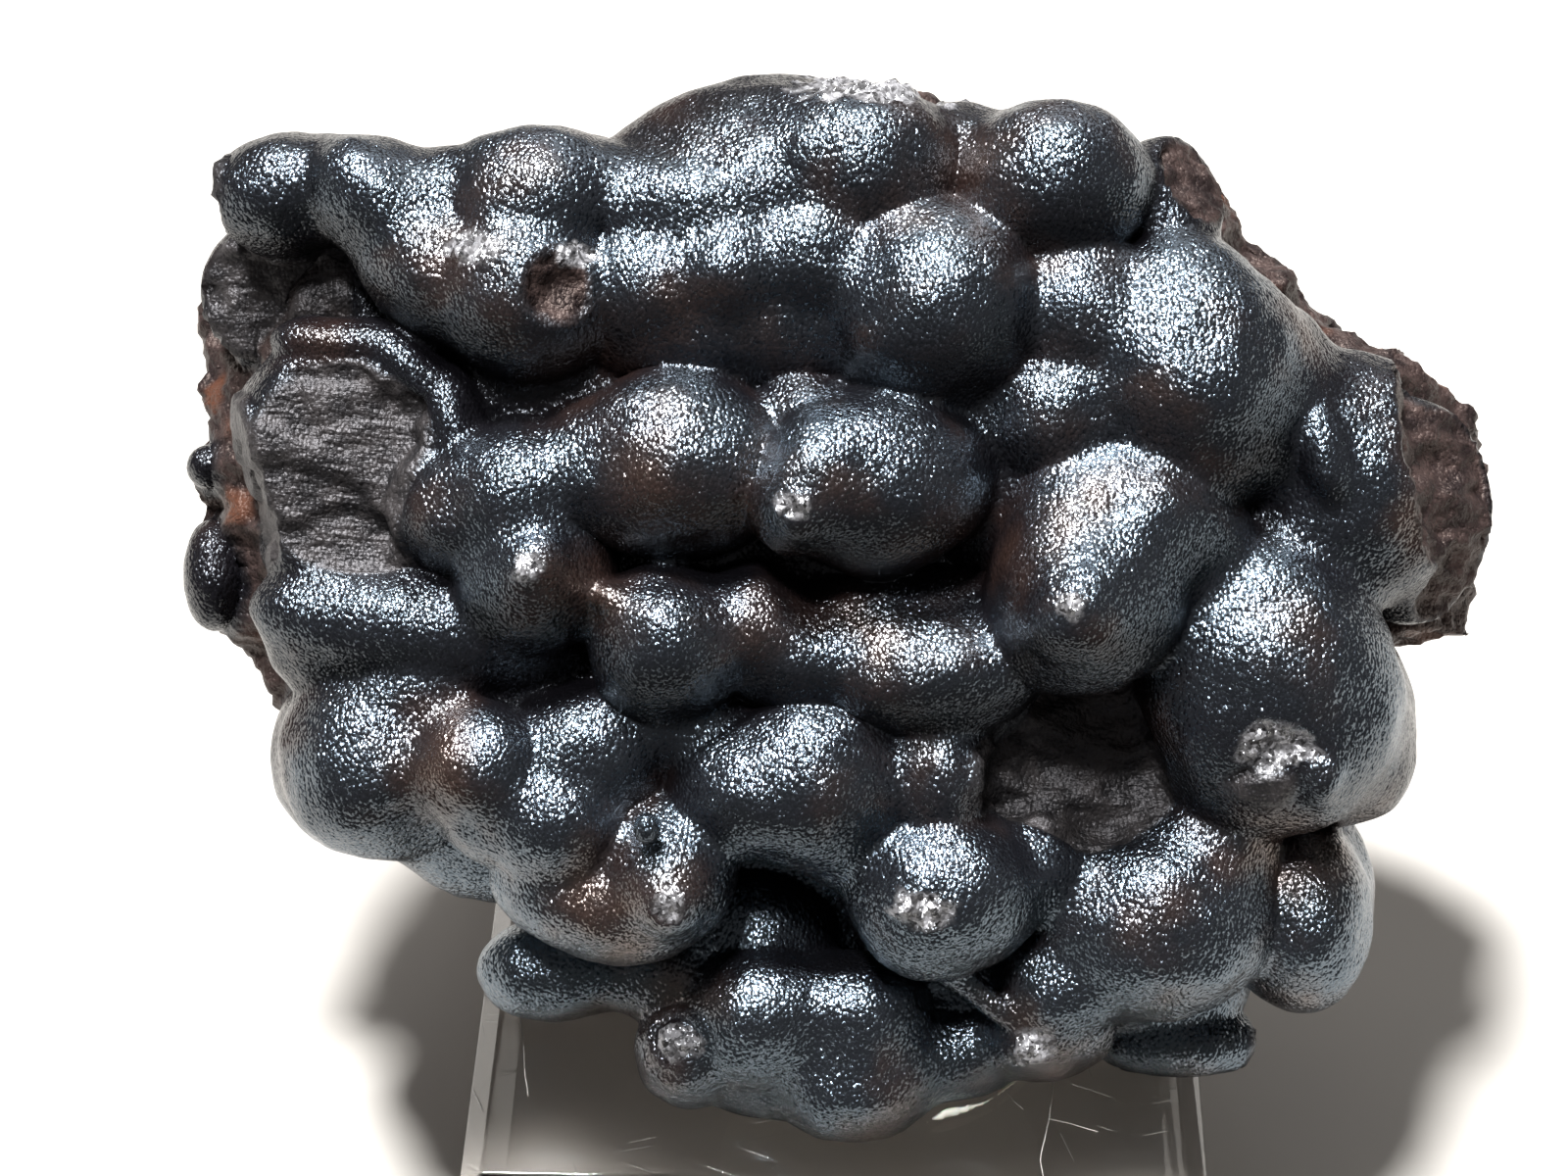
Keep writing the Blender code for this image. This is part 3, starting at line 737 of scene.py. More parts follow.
class LumpTree:
    """Geometry Nodes that swell each lump's point into a ball and break its flats."""

    FLATS = ("flat_a", "flat_b")
    READ = {"ball": "FLOAT_VECTOR", "half_size": "FLOAT_VECTOR", "roll": "FLOAT", "centre": "FLOAT_VECTOR"}

    # A flat outside the unit ball, which breaks nothing off it.
    UNBROKEN = (0.0, 0.0, 1.0, 2.0)

    def __init__(self, detail: int = 5) -> None:
        """Keeps how finely a ball is divided."""
        self.detail = detail

    def point_mesh(self, lumps: tuple[Lump, ...], stance: Stance) -> Mesh:
        """One point for each lump, with the sizes that the tree reads.

        Args:
            lumps: The lumps.
            stance: How the specimen stands.

        Returns:
            The mesh of points.
        """
        mesh = bpy.data.meshes.new("lump_points")
        mesh.from_pydata([lump.centre(stance) for lump in lumps], [], [])
        self.store_vectors(mesh, "half_size", [lump.half_size(stance) for lump in lumps])
        write_attribute(mesh, "roll", np.array([math.radians(lump.roll) for lump in lumps]))
        for k, name in enumerate(self.FLATS):
            flats = [lump.flats[k] if len(lump.flats) > k else self.UNBROKEN for lump in lumps]
            self.store_vectors(mesh, name, [Vector(flat[:3]).normalized() for flat in flats])
            write_attribute(mesh, name + "_at", np.array([flat[3] for flat in flats]))
        return mesh

    def store_vectors(self, mesh: Mesh, name: str, vectors: list[Vector]) -> None:
        """Stores one vector for each point under this name."""
        attribute = mesh.attributes.new(name, "FLOAT_VECTOR", "POINT")
        attribute.data.foreach_set("vector", np.array(vectors, dtype=np.float32).ravel())

    def tree(self) -> Tree:
        """Builds the node tree.

        Returns:
            The tree, with its inputs for the points, the detail and the finish.
        """
        group = bpy.data.node_groups.new("botryoidal_lumps", "GeometryNodeTree")
        face = group.interface
        face.new_socket("Points", in_out="INPUT", socket_type="NodeSocketGeometry")
        face.new_socket("Detail", in_out="INPUT", socket_type="NodeSocketInt")
        face.new_socket("Finish", in_out="INPUT", socket_type="NodeSocketMaterial")
        face.new_socket("Lumps", in_out="OUTPUT", socket_type="NodeSocketGeometry")
        given = add_node(group, "NodeGroupInput", {}).outputs
        place = add_node(group, "GeometryNodeInputPosition", {}).outputs[0]
        feeds = {"Radius": 1.0, "Subdivisions": given["Detail"]}
        ball = add_node(group, "GeometryNodeMeshIcoSphere", feeds).outputs["Mesh"]
        marked = []
        for points, name in ((ball, "ball"), (given["Points"], "centre")):
            feeds = {"Geometry": points, "Name": name, "Value": place}
            keep = add_node(group, "GeometryNodeStoreNamedAttribute", feeds, data_type="FLOAT_VECTOR")
            marked.append(keep.outputs["Geometry"])
        grown = add_node(group, "GeometryNodeInstanceOnPoints", {"Instance": marked[0], "Points": marked[1]})
        real = add_node(group, "GeometryNodeRealizeInstances", {"Geometry": grown.outputs["Instances"]})
        read = {}
        for name, kind in self.READ.items():
            stored = add_node(group, "GeometryNodeInputNamedAttribute", {"Name": name}, data_type=kind)
            read[name] = stored.outputs[0]
        shape = read["ball"]
        for name in self.FLATS:
            shape = self.break_flat(group, shape, name)
        feeds = {0: shape, 1: read["half_size"]}
        sized = add_node(group, "ShaderNodeVectorMath", feeds, operation="MULTIPLY")
        feeds = {"Vector": sized.outputs[0], "Angle": read["roll"]}
        turned = add_node(group, "ShaderNodeVectorRotate", feeds, rotation_type="Z_AXIS")
        feeds = {0: turned.outputs[0], 1: read["centre"]}
        there = add_node(group, "ShaderNodeVectorMath", feeds, operation="ADD").outputs[0]
        feeds = {"Geometry": real.outputs["Geometry"], "Position": there}
        moved = add_node(group, "GeometryNodeSetPosition", feeds)
        solid = add_node(group, "GeometryNodeRealizeInstances", {"Geometry": moved.outputs["Geometry"]})
        feeds = {"Geometry": solid.outputs["Geometry"], "Material": given["Finish"]}
        dressed = add_node(group, "GeometryNodeSetMaterial", feeds)
        add_node(group, "NodeGroupOutput", {"Lumps": dressed.outputs["Geometry"]})
        return group

    def break_flat(self, group: Tree, shape: Socket, name: str) -> Socket:
        """Presses what stands beyond a flat back onto it.

        Args:
            group: The tree.
            shape: The ball's points.
            name: The flat's stored direction; its distance ends in _at.

        Returns:
            The socket of the broken ball's points.
        """
        stored = {"FLOAT_VECTOR": name, "FLOAT": name + "_at"}
        way, at = (
            add_node(group, "GeometryNodeInputNamedAttribute", {"Name": label}, data_type=kind).outputs[0]
            for kind, label in stored.items()
        )
        reach = add_node(group, "ShaderNodeVectorMath", {0: shape, 1: way}, operation="DOT_PRODUCT")
        past = add_node(group, "ShaderNodeMath", {0: reach.outputs["Value"], 1: at}, operation="SUBTRACT")
        over = add_node(group, "ShaderNodeMath", {0: past.outputs[0], 1: 0.0}, operation="MAXIMUM")
        feeds = {0: way, "Scale": over.outputs[0]}
        back = add_node(group, "ShaderNodeVectorMath", feeds, operation="SCALE").outputs[0]
        return add_node(group, "ShaderNodeVectorMath", {0: shape, 1: back}, operation="SUBTRACT").outputs[0]

    def grow(self, lumps: tuple[Lump, ...], stance: Stance, finish: Material) -> Mesh:
        """Runs the tree on the lumps.

        Args:
            lumps: The lumps to grow.
            stance: How the specimen stands.
            finish: The material that they take.

        Returns:
            A plain mesh of overlapping balls in the face frame.
        """
        piece = add_object("lump_points", self.point_mesh(lumps, stance))
        group = self.tree()
        grow = piece.modifiers.new("grow", "NODES")
        grow.node_group = group
        listed = group.interface.items_tree
        sockets = {item.name: item.identifier for item in listed if item.in_out == "INPUT"}
        grow[sockets["Detail"]] = self.detail
        grow[sockets["Finish"]] = finish
        return plain_mesh(piece)


# Finishes


@dataclass(frozen=True)
class GoethiteFinish:
    """Goethite grown as a botryoidal crust, and broken across its fibres.

    The skin is black and submetallic, and its drusy grain glitters. A fresh
    break shows dark silky fibres, a weathered one a brown rind with rust in its
    hollows, and a torn flake bright grain, whose brightest cells are painted glints.

    Attributes:
        skin, skin_brown: The skin, and its browner patches.
        broken, broken_dark: A fresh break, light and dark.
        rind, rind_dark, rust: A weathered break, light and dark, and its rust.
        torn, torn_dark: The brightest and the darkest grain of a torn flake; the brightest grains are partly
            painted glints.
        tint_blue, tint_brown: Reflections on the skin and on its browner patches.
        tint_shaded: Darker reflections on the skin, a painted shade in the furrows and on undersides.
        tint_broken, tint_rind, tint_torn: Reflections on the breaks and flakes.
        brown_grain, brown_span: Size of the brown patches, and their noise values.
        blotch_grain, blotch_span: The same for the light blotches of a break.
        ior: Refractive index of goethite.
        skin_roughness, broken_roughness: Roughness of the skin and of a break.
        druse, druse_height, druse_steep: Width, height and fall of a druse grain.
        facet, facet_lean, broken_lean: Width of a facet, its lean on skin and break.
        sparkle, sparkle_lean: The same for the few facets that lean far.
        torn_facet, torn_lean: The same where a flake has come off.
        drawn_out: How much tighter the grains lie across the growth than along it.
        lie: Lean of the growth, in radians.
        fibre, fibre_height: Size of a fibre along each axis, and its height.
    """

    skin: str = "#0d0c0f"
    skin_brown: str = "#231815"
    broken: str = "#2f2c2c"
    broken_dark: str = "#121112"
    rind: str = "#382d2b"
    rind_dark: str = "#191314"
    # Brightest torn grain: a lighter grain of its own, raised further as painted glints.
    rust: str = "#472b1f"
    torn: str = "#98979a"
    torn_dark: str = "#191716"
    tint_blue: str = "#cde3f6"
    tint_brown: str = "#ecdad0"
    # Darker reflection tint: painted shade in the furrows and on undersides.
    tint_shaded: str = "#6f7379"
    tint_broken: str = "#918f92"
    tint_rind: str = "#7d706a"
    tint_torn: str = "#f2f4f8"
    brown_grain: float = 9.0 * MM
    brown_span: Span = (0.47, 0.76)
    blotch_grain: float = 1.8 * MM
    blotch_span: Span = (0.36, 0.66)
    ior: float = 2.3
    skin_roughness: float = 0.25
    broken_roughness: float = 0.46
    druse: float = 0.26 * MM
    druse_height: float = 0.024 * MM
    druse_steep: float = 1.7
    facet: float = 0.17 * MM
    facet_lean: float = 0.30
    broken_lean: float = 0.20
    sparkle: float = 0.15 * MM
    sparkle_lean: float = 1.7
    torn_facet: float = 0.36 * MM
    torn_lean: float = 1.2
    drawn_out: float = 0.80
    lie: float = math.radians(52.0)
    fibre: Vector = Vector((2.4, 0.34, 1.0)) * MM
    fibre_height: float = 0.22 * MM

    def make(self) -> Material:
        """Builds the material.

        Returns:
            The finished material.
        """
        material, tree, shader = new_material("goethite")
        where = add_node(tree, "ShaderNodeTexCoord", {}).outputs["Object"]
        broken, rusty, outer, torn, painted_shade = (
            add_node(tree, "ShaderNodeAttribute", {}, attribute_name=name).outputs["Fac"]
            for name in ("broken", "rust", "rind", "torn", "painted_shade")
        )
        brown = self.cloud(tree, where, self.brown_grain, self.brown_span)
        blotch = self.cloud(tree, where, self.blotch_grain, self.blotch_span)
        # A torn flake's grain is lighter, partly its own colour and partly painted glints in its brightest
        # random cells.
        cells = add_node(tree, "ShaderNodeTexVoronoi", {"Vector": where, "Scale": 1.0 / self.torn_facet})
        glint_fleck = add_node(tree, "ShaderNodeSeparateColor", {0: cells.outputs["Color"]}).outputs[0]
        skin = self.layered(tree, self.skin, (brown, self.skin_brown))
        crust = self.layered(tree, self.rind_dark, (blotch, self.rind), (rusty, self.rust))
        stone = self.layered(tree, self.broken_dark, (blotch, self.broken), (outer, crust))
        flake_and_glints = self.layered(tree, self.torn_dark, (glint_fleck, self.torn))
        colour = self.layered(tree, skin, (broken, stone), (torn, flake_and_glints))
        # Painted shade: the skin's reflections are darkened where the furrow mask is set.
        skin_tint = self.layered(tree, self.tint_blue, (brown, self.tint_brown), (painted_shade, self.tint_shaded))
        stone_tint = self.layered(tree, self.tint_broken, (outer, self.tint_rind))
        tint = self.layered(tree, skin_tint, (broken, stone_tint), (torn, self.tint_torn))
        feeds = {"Value": broken, "To Min": self.skin_roughness, "To Max": self.broken_roughness}
        rough = add_node(tree, "ShaderNodeMapRange", feeds)
        tree.links.new(colour, shader.inputs["Base Color"])
        tree.links.new(tint, shader.inputs["Specular Tint"])
        tree.links.new(rough.outputs[0], shader.inputs["Roughness"])
        tree.links.new(self.relief(tree, where, broken, torn), shader.inputs["Normal"])
        shader.inputs["IOR"].default_value = self.ior
        return material

    def cloud(self, tree: Tree, where: Socket, grain: float, span: Span) -> Socket:
        """Adds soft patches.

        Args:
            tree: The material's tree.
            where: Object coordinates.
            grain: Size of a patch, in metres.
            span: Noise values where a patch starts and where it is full.

        Returns:
            A socket that is 0 between the patches and 1 in them.
        """
        feeds = {"Vector": where, "Scale": 1.0 / grain, "Detail": 4.0}
        patches = add_node(tree, "ShaderNodeTexNoise", feeds)
        feeds = {"Value": patches.outputs["Fac"], "From Min": span[0], "From Max": span[1]}
        return add_node(tree, "ShaderNodeMapRange", feeds, interpolation_type="SMOOTHSTEP").outputs[0]

    def layered(self, tree: Tree, base: Paint, *layers: tuple[Socket, Paint]) -> Socket:
        """Lays colours over a base, each by its share.

        Args:
            tree: The material's tree.
            base: The colour underneath.
            layers: The share of each next colour, and that colour.

        Returns:
            The socket of the finished colour.
        """
        for share, over in layers:
            # Inputs 6 and 7 and output 2 of this node are its colours.
            under, over = (linear(paint) if isinstance(paint, str) else paint for paint in (base, over))
            blend = add_node(tree, "ShaderNodeMix", {0: share, 6: under, 7: over}, data_type="RGBA")
            base = blend.outputs[2]
        return base

    def relief(self, tree: Tree, where: Socket, broken: Socket, torn: Socket) -> Socket:
        """Druse bumps whose small faces each lean their own way, and fibres on a break.

        Args:
            tree: The material's tree.
            where: Object coordinates.
            broken: 0 on skin and 1 on a break.
            torn: 1 where a flake has come off.

        Returns:
            The socket of the bent normal.
        """
        laid = add_node(tree, "ShaderNodeMapping", {"Vector": where, "Rotation": (-self.lie, 0.0, 0.0)})
        feeds = {"Vector": laid.outputs[0], "Scale": (1.0, self.drawn_out, 1.0)}
        grown = add_node(tree, "ShaderNodeMapping", feeds).outputs[0]
        druse = add_node(tree, "ShaderNodeTexVoronoi", {"Vector": grown, "Scale": 1.0 / self.druse})
        feeds = {0: druse.outputs["Distance"], 1: self.druse_steep}
        across = add_node(tree, "ShaderNodeMath", feeds, operation="MULTIPLY")
        dome = add_node(tree, "ShaderNodeMath", {0: across.outputs[0], 1: 2.0}, operation="POWER").outputs[0]
        bumps = add_node(tree, "ShaderNodeMath", {0: 1.0, 1: dome}, operation="SUBTRACT").outputs[0]
        feeds = {"Height": bumps, "Strength": 1.0, "Distance": self.druse_height}
        raised = add_node(tree, "ShaderNodeBump", feeds).outputs[0]
        raised = self.fibres(tree, where, broken, raised)
        facets = self.leaning(tree, grown, self.facet)
        feeds = {"Value": broken, "To Min": self.facet_lean, "To Max": self.broken_lean}
        calm = add_node(tree, "ShaderNodeMapRange", feeds)
        raised = self.tilt(tree, raised, facets, calm.outputs[0])
        sparks = self.leaning(tree, grown, self.sparkle)
        rare = sparks
        for _ in range(2):
            power = add_node(tree, "ShaderNodeVectorMath", {0: rare, 1: sparks}, operation="MULTIPLY")
            rare = power.outputs[0]
        raised = self.tilt(tree, raised, rare, self.sparkle_lean)
        flakes = self.leaning(tree, grown, self.torn_facet)
        bright = add_node(tree, "ShaderNodeMath", {0: torn, 1: self.torn_lean}, operation="MULTIPLY")
        return self.tilt(tree, raised, flakes, bright.outputs[0])

    def leaning(self, tree: Tree, where: Socket, grain: float) -> Socket:
        """A random way to lean for each cell, within half a unit.

        Args:
            tree: The material's tree.
            where: Object coordinates.
            grain: Size of a cell, in metres.

        Returns:
            The socket of the way to lean.
        """
        cells = add_node(tree, "ShaderNodeTexVoronoi", {"Vector": where, "Scale": 1.0 / grain})
        centred = {0: cells.outputs["Color"], 1: (0.5, 0.5, 0.5)}
        return add_node(tree, "ShaderNodeVectorMath", centred, operation="SUBTRACT").outputs[0]

    def tilt(self, tree: Tree, normal: Socket, way: Socket, amount: Socket | float) -> Socket:
        """Pushes the normal aside.

        Args:
            tree: The material's tree.
            normal: The normal.
            way: Where to push it.
            amount: How far.

        Returns:
            The socket of the pushed normal, at unit length.
        """
        push = add_node(tree, "ShaderNodeVectorMath", {0: way, "Scale": amount}, operation="SCALE")
        feeds = {0: normal, 1: push.outputs[0]}
        pushed = add_node(tree, "ShaderNodeVectorMath", feeds, operation="ADD").outputs[0]
        return add_node(tree, "ShaderNodeVectorMath", {0: pushed}, operation="NORMALIZE").outputs[0]

    def fibres(self, tree: Tree, where: Socket, broken: Socket, normal: Socket) -> Socket:
        """Adds the silky fibre ends of a break to a normal.

        Args:
            tree: The material's tree.
            where: Object coordinates.
            broken: 0 on skin and 1 on a break.
            normal: The normal so far.

        Returns:
            The socket of the normal with the fibres on it.
        """
        scale = tuple(1.0 / width for width in self.fibre)
        drawn = add_node(tree, "ShaderNodeMapping", {"Vector": where, "Scale": scale}).outputs[0]
        strands = add_node(tree, "ShaderNodeTexNoise", {"Vector": drawn, "Scale": 1.0, "Detail": 5.0})
        kept = add_node(tree, "ShaderNodeMath", {0: strands.outputs["Fac"], 1: broken}, operation="MULTIPLY")
        height = kept.outputs[0]
        feeds = {"Height": height, "Strength": 1.0, "Distance": self.fibre_height, "Normal": normal}
        return add_node(tree, "ShaderNodeBump", feeds).outputs[0]


@dataclass(frozen=True)
class AcrylicFinish:
    """Cast acrylic, polished clear. It bends light like glass but weighs half.

    Years of handling leave hairline scratches on its faces.

    Attributes:
        colour: What it tints the light that passes.
        ior: Refractive index of acrylic.
        polish, scratched: Roughness beside a scratch and on it.
        scratch_long, scratch_wide, scratch_deep: Size of a scratch, in metres.
        scratch_span: Noise values where a scratch starts and where it is full.
        headings: Directions that scratches run in, in radians.
    """

    colour: str = "#f5f3f1"
    ior: float = 1.49
    polish: float = 0.02
    scratched: float = 0.30
    scratch_long: float = 14.0 * MM
    scratch_wide: float = 0.35 * MM
    scratch_deep: float = 0.02 * MM
    scratch_span: Span = (0.735, 0.78)
    headings: tuple[float, ...] = (0.42, -0.30, 1.25)

    def make(self) -> Material:
        """Builds the material.

        Returns:
            The finished material.
        """
        material, tree, shader = new_material("clear_acrylic")
        where = add_node(tree, "ShaderNodeTexCoord", {}).outputs["Object"]
        marks = self.scratches(tree, where, self.headings[0])
        for heading in self.headings[1:]:
            more = self.scratches(tree, where, heading)
            marks = add_node(tree, "ShaderNodeMath", {0: marks, 1: more}, operation="MAXIMUM").outputs[0]
        feeds = {"Value": marks, "To Min": self.polish, "To Max": self.scratched}
        dull = add_node(tree, "ShaderNodeMapRange", feeds)
        feeds = {"Height": marks, "Strength": 1.0, "Distance": self.scratch_deep}
        bump = add_node(tree, "ShaderNodeBump", feeds)
        tree.links.new(dull.outputs[0], shader.inputs["Roughness"])
        tree.links.new(bump.outputs[0], shader.inputs["Normal"])
        shader.inputs["Base Color"].default_value = linear(self.colour)
        shader.inputs["Transmission Weight"].default_value = 1.0
        shader.inputs["IOR"].default_value = self.ior
        return material

    def scratches(self, tree: Tree, where: Socket, heading: float) -> Socket:
        """Sparse hairlines that all run one way.

        Args:
            tree: The material's tree.
            where: Object coordinates.
            heading: Their direction, in radians from X.

        Returns:
            A socket that is 1 on a hairline and 0 off it.
        """
        turned = add_node(tree, "ShaderNodeMapping", {"Vector": where, "Rotation": (0.0, 0.0, heading)})
        scale = (1.0 / self.scratch_long, 1.0 / self.scratch_wide, 1.0 / self.scratch_long)
        drawn = add_node(tree, "ShaderNodeMapping", {"Vector": turned.outputs[0], "Scale": scale})
        feeds = {"Vector": drawn.outputs[0], "Scale": 1.0, "Detail": 1.0}
        grain = add_node(tree, "ShaderNodeTexNoise", feeds)
        low, high = self.scratch_span
        feeds = {"Value": grain.outputs["Fac"], "From Min": low, "From Max": high}
        return add_node(tree, "ShaderNodeMapRange", feeds).outputs[0]


@dataclass(frozen=True)
class LintFinish:
    """Household lint: loose white cotton fibres that have settled out of the air.

    Attributes:
        colour, roughness: The cotton's own.
        fuzz, fuzz_deep, fuzz_strength: Width, depth and strength of its fuzz.
    """

    colour: str = "#a5a29d"
    roughness: float = 0.8
    fuzz: float = 0.25 * MM
    fuzz_deep: float = 0.02 * MM
    fuzz_strength: float = 0.5

    def make(self) -> Material:
        """Builds the material.

        Returns:
            The finished material.
        """
        material, tree, shader = new_material("cotton_lint")
        dimpled(tree, shader, self.fuzz, self.fuzz_strength, self.fuzz_deep)
        shader.inputs["Base Color"].default_value = linear(self.colour)
        shader.inputs["Roughness"].default_value = self.roughness
        return material


@dataclass(frozen=True)
class PuttyFinish:
    """White mineral putty: a soft, waxy kneaded mass that stays slightly greasy.

    Attributes:
        colour, roughness: The putty's own.
        dimple, dimple_deep, dimple_strength: Width, depth and strength of a dimple.
        glow, glow_deep: Share of light that enters it, and how deep, in metres.
    """

    colour: str = "#e9e6da"
    roughness: float = 0.5
    dimple: float = 1.6 * MM
    dimple_deep: float = 0.2 * MM
    dimple_strength: float = 0.4
    glow: float = 0.15
    glow_deep: float = 1.0 * MM

    def make(self) -> Material:
        """Builds the material.

        Returns:
            The finished material.
        """
        material, tree, shader = new_material("white_putty")
        dimpled(tree, shader, self.dimple, self.dimple_strength, self.dimple_deep)
        shader.inputs["Base Color"].default_value = linear(self.colour)
        shader.inputs["Roughness"].default_value = self.roughness
        shader.inputs["Subsurface Weight"].default_value = self.glow
        shader.inputs["Subsurface Scale"].default_value = self.glow_deep
        return material


# Sub-assemblies


@dataclass(frozen=True)
class Fracture:
    """The relief of a broken face.

    Attributes:
        scallops: Layers of scallops, where the break is hackly.
        sheets: Steps from one sheet of fibres to the next, where it is fresh.
        sheet_edge: Noise values that such a step rises between.
        strands: Ridges along the fibres.
        ledges: Wider ledges across them.
        ledge_edge: Noise values that a ledge rises between.
        shift: Offset of the ledges' noise from the sheets', in metres.
        sunk: How far a fresh break lies under its flat, in metres.
    """

    scallops: tuple[Relief, ...] = (
        Relief(3.0 * MM, 0.70 * MM, (0.6, 1.3, 1.0), 0.45),
        Relief(1.1 * MM, 0.35 * MM, (0.7, 1.4, 1.0), 0.45),
    )
    sheets: Relief = Relief(3.2 * MM, 0.55 * MM, (0.32, 1.0, 1.0))
    sheet_edge: Span = (-0.06, 0.06)
    strands: Relief = Relief(1.1 * MM, 0.30 * MM, (0.32, 1.0, 1.0))
    ledges: Relief = Relief(4.6 * MM, 0.40 * MM)
    ledge_edge: Span = (0.0, 0.05)
    shift: float = 30.0 * MM
    sunk: float = 0.5 * MM

    def rise(self, points: np.ndarray, hackly: np.ndarray) -> np.ndarray:
        """Works out the relief of a break.

        Args:
            points: Places in the face frame, in metres.
            hackly: 1 where the break is hackly, 0 where it runs along the fibres.

        Returns:
            The height at each point, in metres.
        """
        hackle = sum(layer.rise(points, "VORONOI_F1") for layer in self.scallops)
        silky = self.sheets.steps(points, self.sheet_edge)
        silky += (0.5 - np.abs(self.strands.noise(points))) * self.strands.height
        silky += self.ledges.steps(points + self.shift, self.ledge_edge) - self.sunk
        return hackly * hackle + (1.0 - hackly) * silky


@dataclass
class Specimen:
    """The goethite itself, grown fine from its lumps and its block of ore.

    Attributes:
        stance: How it stands.
        block: The ore behind the lumps.
        voxel: Size of a cell when the shapes are fused, in metres.
        fillet_passes: Smoothing passes after the shapes are fused.
        fillet: How far lumps blend into one another, in metres.
        fillet_steps: Steps taken onto the blended skin.
        lump_reach: How far round a lump its distance is worked out, in half sizes.
        skin_gap: Distances from a lump between which the fillets fade, in metres.
        bare_gap: Distances from a lump between which the bare block begins, in metres.
        bare_depth: The same for the depth behind the mean face, in mm.
        flat_depth: Depths under a flat between which its break begins, in metres.
        flat_rim: The same for the distance from the lump's centre, in half sizes.
        swells: Layers of slow relief on the skin.
        break_relief: Relief of the breaks.
        rust_grain: Size of a rusty patch, in metres.
        rust_span: Noise values where a patch starts and where it is full.
        rust_shift: Offset of the rust's noise from the others', in metres.
        painted_shade: Heights over the mean face between which the painted shade of a furrow begins, in mm.
        shade_edge_up: Places up the face between which the painted shade begins, in mm.
        shade_lean: How far a face looks down where the painted shade of an underside begins and is full.
        underside_shade: Strength of the painted shade on such a face.
        torn_relief: Relief of the grains that a lost flake bares.
        back: How far behind the mean face the thinning begins and is full, in metres.
        back_steps: Steps that the thinning is weighed in.
        back_factor: How much more the back is thinned than the face.
        faces: Triangles that the finished piece keeps.
    """

    stance: Stance = field(default_factory=Stance)
    block: OreBlock = field(default_factory=OreBlock)
    voxel: float = 0.46 * MM
    fillet_passes: int = 3
    fillet: float = 0.65 * MM
    fillet_steps: int = 3
    lump_reach: float = 2.2
    skin_gap: Span = (0.9 * MM, 0.27 * MM)
    bare_gap: Span = (0.3 * MM, 0.9 * MM)
    bare_depth: Span = (4.2, 5.2)
    flat_depth: Span = (-0.35 * MM, -0.10 * MM)
    flat_rim: Span = (1.03, 0.98)
    swells: tuple[Relief, ...] = (
        Relief(6.0 * MM, 0.42 * MM),
        Relief(2.9 * MM, 0.20 * MM),
        Relief(1.5 * MM, 0.09 * MM),
    )
    break_relief: Fracture = Fracture()
    rust_grain: float = 3.5 * MM
    rust_span: Span = (0.20, 0.48)
    rust_shift: float = 10.0 * MM
    painted_shade: Span = (5.0, 0.4)
    shade_edge_up: Span = (-20.0, -12.0)
    shade_lean: Span = (0.0, -0.6)
    underside_shade: float = 0.8
    torn_relief: Relief = Relief(1.3 * MM, 0.55 * MM, level=0.45)
    back: Span = (6.0 * MM, 16.0 * MM)
    back_steps: int = 10
    back_factor: float = 4.0
    faces: int = 190_000

    def build(self) -> Piece:
        """Grows, fuses, refines and dresses the specimen.

        Returns:
            The finished piece.
        """
        finish = GoethiteFinish().make()
        mesh = self.fuse(finish)
        self.refine(mesh)
        mesh.transform(self.stance.matrix())
        self.seat(mesh)
        piece = self.thin_out(mesh)
        coat(piece, finish)
        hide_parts("goethite_specimen")
        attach(piece, "root")
        return piece

    def fuse(self, finish: Material) -> Mesh:
        """Fuses the lumps and the block in one skin.

        Args:
            finish: The material that the lumps are grown with.

        Returns:
            The fused mesh in the face frame.
        """
        whole = add_object("whole", self.block.mesh(self.stance))
        lumps = add_object("lumps", LumpTree().grow(SKIN, self.stance, finish))
        with bpy.context.temp_override(
            active_object=whole, object=whole, selected_editable_objects=[whole, lumps]
        ):
            bpy.ops.object.join()
        fuse = whole.modifiers.new("fuse", "REMESH")
        fuse.mode = "VOXEL"
        fuse.voxel_size = self.voxel
        fillet = whole.modifiers.new("fillet", "SMOOTH")
        fillet.iterations = self.fillet_passes
        return plain_mesh(whole)

    def refine(self, mesh: Mesh) -> None:
        """Fillets the creases, adds swell, fibres and chips, and marks breaks and rust.

        Args:
            mesh: The fused mesh in the face frame.
        """
        points = read_points(mesh)
        for _ in range(self.fillet_steps):
            distance, slope, nearest, *_ = self.skin_field(points)
            on_skin = smoothstep(*self.skin_gap, nearest)
            points = points - slope * (distance * on_skin)[:, None]
        write_points(mesh, points)
        normals = read_normals(mesh)
        _, _, nearest, on_flat, on_rind, on_hackle = self.skin_field(points)
        depth = self.stance.mean_face(points[:, 0] / MM, points[:, 1] / MM) - points[:, 2] / MM
        bare = smoothstep(*self.bare_gap, nearest) * smoothstep(*self.bare_depth, depth)
        broken = np.maximum(bare, on_flat)
        torn, sunk = self.scars(points)
        smooth = sum(layer.rise(points) for layer in self.swells) + self.rings(points)
        rugged = self.break_relief.rise(points, np.maximum(bare, on_hackle))
        move = (1.0 - broken) * smooth + broken * rugged - (1.0 - bare) * sunk
        write_points(mesh, points + normals * move[:, None])
        patches = noise_at(points + self.rust_shift, self.rust_grain)
        # Painted shade: reflections are darkened on faces that look down and deep in the furrows, but not on
        # the lowest lumps.
        under = self.underside_shade * smoothstep(*self.shade_lean, normals[:, 1])
        shade_share = np.maximum(under, smoothstep(*self.painted_shade, -depth))
        marks = {
            "broken": broken,
            "rind": np.maximum(bare, on_rind),
            "rust": bare * smoothstep(*self.rust_span, patches),
            "torn": torn * (1.0 - bare),
            "painted_shade": shade_share * smoothstep(*self.shade_edge_up, points[:, 1] / MM),
        }
        for name, values in marks.items():
            write_attribute(mesh, name, values)

